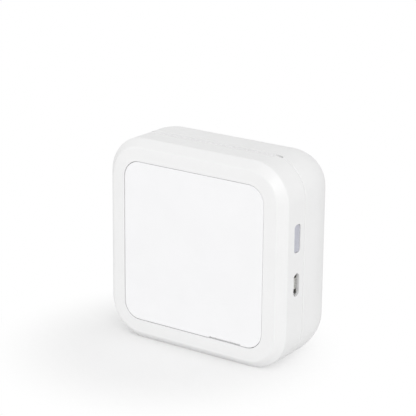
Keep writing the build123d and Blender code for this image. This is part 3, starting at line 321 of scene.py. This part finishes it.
def frosted_button(colour):
    """Polycarbonate light guide, moulded with a frosted face: milky lavender grey, a little light
    spreads inside it, and its blasted face keeps the gloss wide."""
    finish = Finish("frosted_polycarbonate_button", colour, 0.45, IOR=1.58, Subsurface_Weight=0.25,
                    Subsurface_Scale=0.0008, Subsurface_Radius=(1.0, 1.0, 1.0))
    finish.clouds(2.5 * MM, tint=((0.3, shade(colour, 0.97)), (0.7, shade(colour, 1.02))))
    finish.clouds(1.2 * MM, seed=0.2, gloss=(0.4, 0.5))
    finish.clouds(0.15 * MM, 1.0, relief=0.002 * MM)
    return finish


def button_points(low, high, corner, crown):
    """Rounded rectangles from the flange's back out to the domed face.

    Each row is the outline drawn in by its inset, at its own X: the flange with its chamfer, the neck's
    foot, and a quarter of a circle into the face. The face's rows shrink towards the middle while X rises
    by the crown times one less the square of their size."""
    middle = (low + high) / 2
    half = (high - low) / 2
    flange_wide, flange_thick, chamfer, foot, edge_round, least_corner = 0.9, 0.8, 0.12, 0.1, 0.3, 0.5
    top = high[0]
    turn = np.linspace(0, np.pi / 2, 6)
    inset = np.concatenate([[0.0, 0.0, chamfer, flange_wide - foot, flange_wide],
                            flange_wide + edge_round * (1 - np.cos(turn))])
    shoulder = low[0] + flange_thick
    x = np.concatenate([[low[0], shoulder - chamfer, shoulder, shoulder, shoulder + foot],
                        top - crown - edge_round + edge_round * np.sin(turn)])
    rows = []
    for draw_in, place in zip(inset, x):
        turned_corner = max(corner + flange_wide - draw_in, least_corner)
        y, z = rounded_outline(half[1] - draw_in, half[2] - draw_in, turned_corner)
        rows.append(np.stack([np.full_like(y, place), middle[1] + y, middle[2] + z], axis=-1))
    last = rows[-1]
    size = np.linspace(1, 0.02, 8)[1:, None]
    face = np.stack([top - crown * size ** 2 + 0 * last[:, 0], middle[1] + size * (last[:, 1] - middle[1]),
                     middle[2] + size * (last[:, 2] - middle[2])], axis=-1)
    return np.concatenate([np.array(rows), face]) * MM


class PRINTER_OT_button(bpy.types.Operator):
    """Makes the frosted power button"""
    bl_idname = "printer.button"
    bl_label = "Power button"

    def execute(self, context):
        s = settings("printer_housing")
        low, high = box_mm("power_button")
        points = button_points(low, high, s.button_corner / MM, s.button_crown / MM)
        mesh = surface("button_cap", points, around=True, caps=True)
        piece("button_cap", mesh, frosted_button(s.button), "button", "button_clear", "power_button")
        return {"FINISHED"}


# Works


def black_chassis(colour):
    """Glass-filled nylon, moulded: near black with pale fibre streaks and a dull, slightly grainy skin."""
    finish = Finish("moulded_glass_filled_nylon", colour, 0.55, IOR=1.53)
    finish.clouds(0.6 * MM, 4.0, stretch=(0.25, 1.0, 1.0),
                  tint=((0.35, shade(colour, 0.9)), (0.7, shade(colour, 1.18))))
    finish.clouds(5 * MM, gloss=(0.48, 0.62))
    finish.clouds(0.2 * MM, relief=0.006 * MM)
    return finish


def acetal(name, colour, roughness):
    """Acetal, moulded: waxy off-white that lets a little light in, with a soft sheen."""
    finish = Finish(name, colour, roughness, IOR=1.48, Subsurface_Weight=0.15, Subsurface_Scale=0.0006)
    finish.clouds(3 * MM, tint=((0.3, shade(colour, 0.96)), (0.7, colour)))
    finish.clouds(1.5 * MM, seed=0.1, gloss=(roughness - 0.04, roughness + 0.06))
    finish.clouds(0.3 * MM, relief=0.003 * MM)
    return finish


def ground_rubber(colour):
    """Silicone rubber, ground round: matt charcoal with fine rings from the stone and dusty paler bands."""
    finish = Finish("ground_silicone_rubber", colour, 0.7, IOR=1.41, Specular_IOR_Level=0.35)
    finish.clouds(6 * MM, stretch=(1.0, 0.2, 0.2), tint=((0.35, colour), (0.7, shade(colour, 1.35))))
    finish.clouds(0.5 * MM, 2.0, stretch=(1.0, 0.05, 0.05), gloss=(0.62, 0.8), relief=0.008 * MM)
    return finish


def turned_steel(name, colour):
    """Steel bar, ground round its axis: bright rings of slightly different gloss along its length."""
    finish = Finish(name, colour, 0.25, Metallic=1.0)
    finish.clouds(4 * MM, tint=((0.3, shade(colour, 0.93)), (0.7, shade(colour, 1.04))))
    finish.clouds(0.35 * MM, stretch=(1.0, 0.04, 0.04), gloss=(0.16, 0.36), relief=0.002 * MM)
    return finish


def rolled_steel(name, colour, roughness=0.3):
    """Stainless strip, rolled and pressed: lengthwise streaks from the rolls, and a cool even shine."""
    finish = Finish(name, colour, roughness, Metallic=1.0)
    finish.clouds(0.3 * MM, stretch=(0.06, 1.0, 1.0), gloss=(roughness - 0.08, roughness + 0.1),
                  tint=((0.3, shade(colour, 0.9)), (0.7, shade(colour, 1.06))), relief=0.0015 * MM)
    return finish


def zinc_plated():
    """Carbon steel, zinc plated and passivated: bluish silver with faint warm patches and uneven gloss."""
    finish = Finish("zinc_plated_screw", "#BFC3C9", 0.32, Metallic=1.0)
    finish.clouds(0.9 * MM, tint=((0.3, "#B4BBC6"), (0.55, "#BFC3C9"), (0.75, "#C6C2B6")))
    finish.clouds(0.4 * MM, seed=0.4, gloss=(0.25, 0.42))
    finish.clouds(0.25 * MM, relief=0.003 * MM)
    return finish


def drawn_can():
    """Zinc-coated steel, deep drawn into a can: fine marks along the pull and a faint spangle."""
    colour = "#A9ABAE"
    finish = Finish("drawn_galvanised_can", colour, 0.34, Metallic=1.0)
    spangle = add(finish.tree, "ShaderNodeTexVoronoi", {"Vector": finish.point, "Scale": 1 / (1.6 * MM)})
    finish.follow(spangle.outputs["Distance"], tint=((0.1, shade(colour, 0.92)), (0.6, shade(colour, 1.06))))
    finish.clouds(0.4 * MM, 2.0, stretch=(0.08, 1.0, 1.0), gloss=(0.26, 0.42), relief=0.002 * MM)
    return finish


def anodised_sink(colour):
    """Aluminium, extruded and clear anodised: pale grey with die lines along its length and a soft satin."""
    finish = Finish("extruded_anodised_aluminium", colour, 0.38, Metallic=1.0)
    finish.clouds(0.35 * MM, stretch=(0.03, 1.0, 1.0), gloss=(0.3, 0.46),
                  tint=((0.3, shade(colour, 0.92)), (0.7, shade(colour, 1.05))), relief=0.003 * MM)
    return finish


def glazed_ceramic():
    """Alumina, fired and glazed: cool white, with gold contact pads along its lower part, the brown heater
    line across its middle, and conductors 0.25 mm apart that stand up a little under the glaze."""
    finish = Finish("glazed_alumina_strip", "#DDDCD6", 0.2, IOR=1.76, Coat_Weight=0.4, Coat_Roughness=0.08)
    low, high = box_mm("head_strip")
    height = add(finish.tree, "ShaderNodeSeparateXYZ", {0: finish.point}).outputs["Z"]
    share = add(finish.tree, "ShaderNodeMapRange",
                {"Value": height, "From Min": low[2] * MM, "From Max": high[2] * MM})
    finish.follow(share.outputs["Result"],
                  tint=((0.0, "#C9A56A"), (0.28, "#B98F52"), (0.3, "#DDDCD6"), (0.42, "#E2E1DC"),
                        (0.44, "#5A3A28"), (0.5, "#4A2E20"), (0.52, "#E2E1DC")))
    conductors = add(finish.tree, "ShaderNodeTexWave", {"Vector": finish.point, "Scale": WAVE / (0.25 * MM)})
    finish.follow(conductors.outputs["Fac"], relief=0.002 * MM)
    return finish


def cast_epoxy():
    """Epoxy resin, cast over the driver chips: glossy black with slow lumps and a few dull spots."""
    finish = Finish("cast_black_epoxy", "#17181A", 0.18, IOR=1.55)
    finish.clouds(1.5 * MM, tint=((0.35, "#131416"), (0.7, "#202124")))
    finish.clouds(0.8 * MM, seed=0.2, gloss=(0.12, 0.35))
    finish.clouds(1.2 * MM, 1.0, relief=0.02 * MM)
    return finish


def amber_flex():
    """Polyimide film laminated over copper: amber, glossy, with darker conductors 0.5 mm apart beneath."""
    finish = Finish("laminated_polyimide_ribbon", "#B5722A", 0.3, IOR=1.7, Coat_Weight=0.3,
                    Coat_Roughness=0.15)
    lanes = add(finish.tree, "ShaderNodeTexWave", {"Vector": finish.point, "Scale": WAVE / (0.5 * MM)})
    finish.follow(lanes.outputs["Fac"], tint=((0.35, "#C98A35"), (0.6, "#8E4F1E")), relief=0.012 * MM)
    finish.clouds(2 * MM, gloss=(0.24, 0.38))
    return finish


def coil_points(low, high, turns, wire):
    """Two wires wound round lines along Y, one at each end of the box in X.

    The middle of a wire goes round its line as an angle grows evenly, and forward in step with it. Each row
    is a circle across the wire, between the way outwards and its cross product with the way along."""
    steps = 24
    radius = (high[2] - low[2]) / 2 - wire
    first = low[1] + wire
    rise = (high[1] - wire - first) / (2 * np.pi * turns)
    angle = np.linspace(0, 2 * np.pi * turns, round(turns * steps) + 1)
    zero = 0 * angle
    outward = np.stack([np.cos(angle), zero, np.sin(angle)], axis=-1)
    along = np.stack([-radius * np.sin(angle), rise + zero, radius * np.cos(angle)], axis=-1)
    along /= np.linalg.norm(along, axis=-1, keepdims=True)
    across = np.cross(along, outward)
    middle = radius * outward
    middle[:, 1] = first + rise * angle
    middle[:, 2] += (low[2] + high[2]) / 2
    turn = np.linspace(0, 2 * np.pi, 10, endpoint=False)[:, None]
    tube = middle[:, None] + wire * (np.cos(turn) * outward[:, None] + np.sin(turn) * across[:, None])
    places = np.array([low[0] + radius + wire, high[0] - radius - wire])
    shift = places[:, None] * np.array([1.0, 0.0, 0.0])
    return (tube[None] + shift[:, None, None]) * MM


class PRINTER_OT_springs(bpy.types.Operator):
    """Makes the coil springs that press the print head on the roller"""
    bl_idname = "printer.springs"
    bl_label = "Head springs"

    def execute(self, context):
        s = settings("printer_works")
        low, high = box_mm("head_springs")
        points = coil_points(low, high, SPRING_TURNS, s.wire / MM)
        mesh = surface("coil_springs", points, around=True, caps=True)
        finish = rolled_steel("drawn_spring_steel", shade(s.steel, 0.85), 0.36)
        springs = piece("coil_springs", mesh, finish, "front_half", "spring_steel", "head_springs")
        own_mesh(springs)
        return {"FINISHED"}


class PRINTER_OT_works(bpy.types.Operator):
    """Finishes the chassis, roller, gears, motor and print head"""
    bl_idname = "printer.works"
    bl_label = "Printing works"

    def execute(self, context):
        s = settings("printer_works")
        dress(black_chassis(s.chassis), "chassis")
        dress(acetal("moulded_acetal_gear", s.gear, 0.34), "platen_gear", "idler_gear", "step_gear",
              "motor_pinion")
        dress(acetal("turned_acetal_bush", shade(s.gear, 0.97), 0.42), "platen_bushes")
        dress(ground_rubber(s.rubber), "platen_sleeve")
        dress(turned_steel("ground_steel_shaft", s.steel), "platen_shaft", "hinge_pin", "gear_washers")
        dress(rolled_steel("pressed_stainless_strip", shade(s.steel, 1.25), 0.42), "tear_bar")
        dress(zinc_plated(), "chassis_screws", "board_screws", "side_board_screws", "carrier_screws",
              "motor_screws")
        dress(drawn_can(), "stepper_motor")
        dress(anodised_sink(s.sink), "heat_sink")
        dress(glazed_ceramic(), "head_strip")
        dress(cast_epoxy(), "head_drivers")
        dress(amber_flex(), "head_ribbon", "motor_ribbon", "side_ribbon")
        return {"FINISHED"}


# Circuit


def solder_mask(colour):
    """Glass-epoxy board under a green lacquer: tracks 1 mm apart show as slightly paler raised lines, and
    the lacquer lies glossy and a little uneven over them."""
    finish = Finish("lacquered_glass_epoxy_board", colour, 0.28, IOR=1.54, Coat_Weight=0.3,
                    Coat_Roughness=0.12)
    # Turned so that the bricks lie in the board's own plane
    bricks = add(finish.tree, "ShaderNodeMapping", {"Vector": finish.point, "Rotation": (radians(90), 0, 0)})
    tracks = add(finish.tree, "ShaderNodeTexBrick",
                 {"Vector": bricks.outputs[0], "Scale": 1.0, "Mortar Size": 0.12 * MM, "Mortar Smooth": 0.2,
                  "Brick Width": 6.5 * MM, "Row Height": 1.0 * MM}, offset=0.37, offset_frequency=3)
    finish.follow(tracks.outputs["Fac"], tint=((0.2, colour), (0.8, shade(colour, 1.45))), relief=0.02 * MM)
    finish.clouds(4 * MM, gloss=(0.22, 0.34))
    return finish


def moulded_epoxy():
    """Chip package, transfer moulded: dull dark grey with a fine matt bloom."""
    finish = Finish("moulded_epoxy_package", "#26272A", 0.6, IOR=1.55)
    finish.clouds(0.4 * MM, 5.0, tint=((0.35, "#222326"), (0.7, "#303135")))
    finish.clouds(1.5 * MM, gloss=(0.52, 0.66))
    finish.clouds(0.1 * MM, relief=0.004 * MM)
    return finish


def moulded_part(name, colour, roughness):
    """Small glass-filled part, injection moulded: plain colour with faint flow marks and a low sheen."""
    finish = Finish(name, colour, roughness, IOR=1.53)
    finish.clouds(1.2 * MM, stretch=(0.5, 1.0, 1.0), tint=((0.3, shade(colour, 0.95)), (0.7, colour)))
    finish.clouds(0.8 * MM, seed=0.3, gloss=(roughness - 0.05, roughness + 0.08))
    finish.clouds(0.15 * MM, relief=0.004 * MM)
    return finish


def tinned_can():
    """Tin-plated steel cover, pressed: bright warm silver with soft hand marks."""
    finish = Finish("tinned_steel_cover", "#CFCDC8", 0.28, Metallic=1.0)
    finish.clouds(3 * MM, tint=((0.3, "#C2C0BC"), (0.7, "#D8D6D0")))
    finish.clouds(1.5 * MM, seed=0.5, gloss=(0.2, 0.4))
    finish.clouds(0.6 * MM, relief=0.004 * MM)
    return finish


def clear_lamp():
    """Status lamp, cast in clear epoxy: glassy, with a faint milky body."""
    finish = Finish("cast_clear_epoxy_lamp", "#EDF3EE", 0.12, IOR=1.54, Transmission_Weight=0.7)
    finish.clouds(0.5 * MM, gloss=(0.08, 0.2))
    finish.clouds(0.6 * MM, relief=0.003 * MM)
    return finish


def embossed_foil(colour):
    """Battery pouch, aluminium foil laminate drawn into a cup: silver and satin, with the slack skin of
    a soft pack that wrinkles a little."""
    finish = Finish("embossed_aluminium_laminate", colour, 0.36, Metallic=0.85, IOR=1.5)
    finish.clouds(8 * MM, tint=((0.3, shade(colour, 0.93)), (0.7, shade(colour, 1.04))))
    finish.clouds(3 * MM, seed=0.2, gloss=(0.3, 0.44))
    finish.clouds(0.9 * MM, 4.0, relief=0.03 * MM)
    return finish


def foam_tape():
    """Acrylic foam tape, coated and slit: dull mid grey with fine open cells."""
    finish = Finish("coated_foam_tape", "#6E7072", 0.85, IOR=1.46, Specular_IOR_Level=0.3)
    cells = add(finish.tree, "ShaderNodeTexVoronoi", {"Vector": finish.point, "Scale": 1 / (0.25 * MM)})
    finish.follow(cells.outputs["Distance"], tint=((0.1, "#5C5E60"), (0.7, "#7A7C7E")), relief=0.03 * MM)
    return finish


def wire_pvc():
    """PVC, extruded over wire: soft gloss, the left lead black and the right one red."""
    finish = Finish("extruded_pvc_wire", "#C32222", 0.35, IOR=1.53)
    low, high = box_mm("battery_leads")
    across = add(finish.tree, "ShaderNodeSeparateXYZ", {0: finish.point}).outputs["X"]
    share = add(finish.tree, "ShaderNodeMapRange",
                {"Value": across, "From Min": low[0] * MM, "From Max": high[0] * MM})
    finish.follow(share.outputs["Result"], tint=((0.49, "#1D1D1F"), (0.51, "#B81F1F")))
    finish.clouds(1.5 * MM, gloss=(0.3, 0.42))
    finish.clouds(0.4 * MM, relief=0.004 * MM)
    return finish


def plated(name, colour, roughness):
    """Copper alloy, plated: thin bright metal with a slightly rippled skin."""
    finish = Finish(name, colour, roughness, Metallic=1.0)
    finish.clouds(0.7 * MM, tint=((0.3, shade(colour, 0.92)), (0.7, shade(colour, 1.05))))
    finish.clouds(0.3 * MM, seed=0.6, gloss=(roughness - 0.06, roughness + 0.1))
    finish.clouds(0.2 * MM, relief=0.002 * MM)
    return finish


def pouch_points(low, high, seam, seam_thick):
    """Rounded sections along X that swell fast from a thin sealed end to the full cell.

    Half the thickness is the seam's plus the rest times the root of 1 - r to the 24th, where r is the
    distance from the middle over the cup's half length. A section is a circle whose sine and cosine are
    raised to a small power, which makes it a rectangle with round corners."""
    middle = (low + high) / 2
    half = (high - low) / 2
    cup = half[0] - seam
    turn = np.linspace(-np.pi / 2, np.pi / 2, 61)
    x = np.concatenate([[-half[0]], cup * np.sin(turn), [half[0]]])
    ratio = np.clip(np.abs(x) / cup, 0, 1)
    thick = seam_thick / 2 + (half[1] - seam_thick / 2) * np.sqrt(1 - ratio ** 24)
    angle = np.linspace(0, 2 * np.pi, 96, endpoint=False)
    squareness = 0.28
    across = np.sign(np.cos(angle)) * np.abs(np.cos(angle)) ** squareness
    up = np.sign(np.sin(angle)) * np.abs(np.sin(angle)) ** squareness
    y = middle[1] + thick[:, None] * across
    z = middle[2] + half[2] * up + 0 * y
    return np.stack([middle[0] + x[:, None] + 0 * y, y, z], axis=-1) * MM


def leg_points(edge, side, board, pitch, count, centre):
    """Gull-wing legs in a row along X: a strip 0.3 mm wide that leaves the chip level, drops to the board
    and ends in a flat foot. Each row of points is a rectangle across the strip, taken round the other way
    where the legs go up, so that their faces point outwards too."""
    out = np.array([0.0, 0.35, 0.55, 1.1])
    high = np.array([0.45, 0.45, 0.1, 0.1])
    wide, thick = 0.15, 0.1
    corner = np.array([[-wide, 0.0], [wide, 0.0], [wide, -thick], [-wide, -thick]])
    places = centre + pitch * (np.arange(count) - (count - 1) / 2)
    x = places[:, None, None] + corner[None, None, :, 0] + 0 * out[None, :, None]
    y = board + high[None, :, None] + corner[None, None, :, 1] + 0 * x
    z = edge + side * out[None, :, None] + 0 * x
    points = np.stack([x, y, z], axis=-1) * MM
    return points[:, :, ::-1] if side > 0 else points


def contact_points(low, high):
    """Five strips on the face of the socket's tongue, each a bar 0.34 mm wide whose free end bends in.

    Each row of points is a rectangle across the bar, from just under the face to the bar's thickness."""
    count, pitch, half, sunk, tongue_thick = 5, 0.65, 0.17, 0.02, 0.6
    x = np.array([low[0] + 1.3, high[0] - 0.5, high[0] - 0.25])
    thick = np.array([0.06, 0.06, 0.01]) + sunk
    face = high[1] - tongue_thick
    corner = np.array([[-half, 0.0], [half, 0.0], [half, 1.0], [-half, 1.0]])
    places = (low[2] + high[2]) / 2 + pitch * (np.arange(count) - (count - 1) / 2)
    z = places[:, None, None] + corner[None, None, :, 0] + 0 * x[None, :, None]
    y = face + sunk - thick[None, :, None] * corner[None, None, :, 1] + 0 * z
    return np.stack([x[None, :, None] + 0 * z, y, z], axis=-1) * MM


class PRINTER_OT_circuit(bpy.types.Operator):
    """Finishes the boards and sockets and makes the chip's legs"""
    bl_idname = "printer.circuit"
    bl_label = "Circuit"

    def execute(self, context):
        s = settings("printer_circuit")
        dress(solder_mask(s.mask), "main_board", "side_board")
        dress(moulded_epoxy(), "board_chips")
        dress(moulded_part("moulded_nylon_socket", "#E3DCC9", 0.45), "board_connectors")
        dress(moulded_part("moulded_switch_housing", "#4A4B4E", 0.5), "switch_body", "switch_plunger")
        dress(moulded_part("moulded_infrared_filter", "#1A1517", 0.25), "paper_sensor")
        dress(tinned_can(), "radio_can")
        dress(clear_lamp(), "status_lamp")
        board_face = box_mm("main_board")[1][1]
        lower_edge = box_mm("board_chips")[0][2]
        chip_high, chip_middle, count, sunk = 6.8, -4.5, 9, 0.2
        pitch = s.leg_pitch / MM
        rows = [leg_points(lower_edge + sunk, -1, board_face, pitch, count, chip_middle),
                leg_points(lower_edge + chip_high - sunk, 1, board_face, pitch, count, chip_middle)]
        mesh = surface("chip_legs", np.concatenate(rows), around=True, caps=True)
        piece("chip_legs", mesh, plated("tinned_copper_leg", "#C9C8C4", 0.3), "front_half", "steel")
        return {"FINISHED"}


class PRINTER_OT_power(bpy.types.Operator):
    """Makes the battery pouch and finishes its tape and leads"""
    bl_idname = "printer.power"
    bl_label = "Battery"

    def execute(self, context):
        s = settings("printer_circuit")
        low, high = box_mm("battery_cell")
        points = pouch_points(low, high, s.seam / MM, s.seam_thick / MM)
        mesh = surface("battery_pouch", points, around=True, caps=True)
        piece("battery_pouch", mesh, embossed_foil(s.foil), "front_half", "cell_foil", "battery_cell")
        dress(foam_tape(), "battery_tape")
        dress(wire_pvc(), "battery_leads")
        return {"FINISHED"}


class PRINTER_OT_socket(bpy.types.Operator):
    """Finishes the USB socket and makes its contacts"""
    bl_idname = "printer.socket"
    bl_label = "USB socket"

    def execute(self, context):
        dress(rolled_steel("pressed_plated_shell", "#D9D9D8", 0.28), "usb_shell")
        dress(moulded_part("moulded_white_tongue", "#F2F2EE", 0.4), "usb_tongue")
        low, high = box_mm("usb_tongue")
        mesh = surface("usb_contacts", contact_points(low, high), around=True, caps=True)
        piece("usb_contacts", mesh, plated("gold_plated_contact", "#D8B365", 0.25), "front_half", "steel")
        return {"FINISHED"}


# Studio


def paper_floor(share):
    """White paper roll, matt: the camera sees it plain white, but for a soft patch round the object, where
    the floor shows that share of the real light and shade, and so the shadow."""
    material = bpy.data.materials.new("matt_white_paper")
    material.use_nodes = True
    tree = material.node_tree
    tree.nodes.clear()
    point = add(tree, "ShaderNodeTexCoord").outputs["Object"]
    away = add(tree, "ShaderNodeVectorMath", {0: point, 1: SHADOW_MIDDLE}, operation="DISTANCE")
    plain = add(tree, "ShaderNodeMapRange",
                {"Value": away.outputs["Value"], "From Min": SHADOW_INNER, "From Max": SHADOW_OUTER,
                 "To Min": 1.0 - share, "To Max": 1.0}, interpolation_type="SMOOTHSTEP")
    rays = add(tree, "ShaderNodeLightPath")
    part = add(tree, "ShaderNodeMath", {0: rays.outputs["Is Camera Ray"], 1: plain.outputs["Result"]},
               operation="MULTIPLY")
    paper = add(tree, "ShaderNodeBsdfDiffuse", {"Color": linear("#F6F6F6")})
    white = add(tree, "ShaderNodeEmission", {"Color": (1.0, 1.0, 1.0, 1.0), "Strength": 1.0})
    both = add(tree, "ShaderNodeMixShader", {0: part.outputs[0], 1: paper.outputs[0], 2: white.outputs[0]})
    add(tree, "ShaderNodeOutputMaterial", {"Surface": both.outputs[0]})
    return material


def studio_sky(strength):
    """Even grey light from all round; the camera, gloss and glass see plain white."""
    world = bpy.data.worlds.new("studio_sky")
    world.use_nodes = True
    tree = world.node_tree
    tree.nodes.clear()
    rays = add(tree, "ShaderNodeLightPath")
    seen = rays.outputs["Is Camera Ray"]
    for name in ("Is Glossy Ray", "Is Transmission Ray"):
        seen = add(tree, "ShaderNodeMath", {0: seen, 1: rays.outputs[name]}, operation="MAXIMUM").outputs[0]
    power = add(tree, "ShaderNodeMapRange", {"Value": seen, "To Min": strength, "To Max": 1.0})
    glow = add(tree, "ShaderNodeBackground", {"Color": (1.0, 1.0, 1.0, 1.0), "Strength": power.outputs[0]})
    add(tree, "ShaderNodeOutputWorld", {"Surface": glow.outputs[0]})
    bpy.context.scene.world = world


def direction(azimuth, elevation):
    """Way from the object's middle; azimuth 0 is straight in front and it grows to the right."""
    return Vector((sin(azimuth) * cos(elevation), -cos(azimuth) * cos(elevation), sin(elevation)))


def lamp(name, power, azimuth, elevation, distance, size):
    """Square soft lamp that faces the object's middle; angles in degrees, lengths in metres."""
    data = bpy.data.lights.new(name, "AREA")
    data.shape = "SQUARE"
    data.size = size
    data.energy = power
    way = direction(radians(azimuth), radians(elevation))
    obj = bpy.data.objects.new(name, data)
    obj.location = MIDDLE + way * distance
    obj.rotation_euler = way.to_track_quat("Z", "Y").to_euler()
    bpy.context.scene.collection.objects.link(obj)


def set_camera(s):
    """Camera that looks past the object's middle, moved sideways so that the middle lands on its pixel."""
    data = bpy.data.cameras.new("camera")
    data.sensor_width = SENSOR
    data.lens = s.lens
    data.clip_start = 0.01
    data.clip_end = 20.0
    back = direction(s.azimuth, s.elevation)
    level = back.to_track_quat("Z", "Y").to_matrix()
    turned = level @ Matrix.Rotation(s.roll, 3, "Z")
    pixel = SENSOR / s.lens / PHOTO_WIDTH * s.distance
    aside = turned @ Vector((PHOTO_WIDTH / 2 - s.middle_x, s.middle_y - PHOTO_WIDTH / 2, 0.0)) * pixel
    obj = bpy.data.objects.new("camera", data)
    obj.matrix_world = Matrix.Translation(MIDDLE + back * s.distance + aside) @ turned.to_4x4()
    bpy.context.scene.collection.objects.link(obj)
    bpy.context.scene.camera = obj


class PRINTER_OT_studio(bpy.types.Operator):
    """Makes the floor, the lamps, the sky and the camera"""
    bl_idname = "printer.studio"
    bl_label = "Studio"

    def execute(self, context):
        s = settings("printer_studio")
        side = np.array([-FLOOR_HALF, FLOOR_HALF])
        x, y = np.meshgrid(side, side)
        mesh = surface("floor", np.stack([x, y, 0 * x], axis=-1))
        mesh.materials.append(paper_floor(s.shadow))
        floor = bpy.data.objects.new("floor", mesh)
        bpy.context.scene.collection.objects.link(floor)
        studio_sky(s.sky)
        lamp("key_lamp", s.key, azimuth=-45, elevation=12, distance=1.5, size=0.7)
        lamp("edge_lamp", s.edge, azimuth=45, elevation=32, distance=2.4, size=1.2)
        lamp("fill_lamp", s.fill, azimuth=90, elevation=5, distance=2.4, size=0.45)
        set_camera(s)
        bpy.context.scene.view_settings.view_transform = "Standard"
        return {"FINISHED"}


class PRINTER_PT_panel(bpy.types.Panel):
    """Lists the pieces and their settings"""
    bl_idname = "PRINTER_PT_panel"
    bl_label = "Thermal printer"
    bl_space_type = "VIEW_3D"
    bl_region_type = "UI"
    bl_category = "Printer"

    def draw(self, context):
        for operator in OPERATORS:
            self.layout.operator(operator.bl_idname)
        for name, group in GROUPS.items():
            box = self.layout.box()
            for key in group.__annotations__:
                box.prop(getattr(context.scene, name), key)


GROUPS = {
    "printer_housing": HousingSettings,
    "printer_works": WorksSettings,
    "printer_circuit": CircuitSettings,
    "printer_studio": StudioSettings,
}
OPERATORS = (PRINTER_OT_housing, PRINTER_OT_button, PRINTER_OT_works, PRINTER_OT_springs, PRINTER_OT_circuit,
             PRINTER_OT_power, PRINTER_OT_socket, PRINTER_OT_studio)


def register():
    """Adds the settings, operators and panel."""
    for cls in (*GROUPS.values(), *OPERATORS, PRINTER_PT_panel):
        bpy.utils.register_class(cls)
    for name, group in GROUPS.items():
        setattr(bpy.types.Scene, name, bpy.props.PointerProperty(type=group))


def unregister():
    """Takes them away again."""
    for name in GROUPS:
        delattr(bpy.types.Scene, name)
    for cls in (PRINTER_PT_panel, *reversed(OPERATORS), *reversed(GROUPS.values())):
        bpy.utils.unregister_class(cls)


def main():
    """Makes every piece in order."""
    register()
    for operator in OPERATORS:
        name = operator.bl_idname.split(".")[1]
        getattr(bpy.ops.printer, name)()


if __name__ == "__main__":
    main()
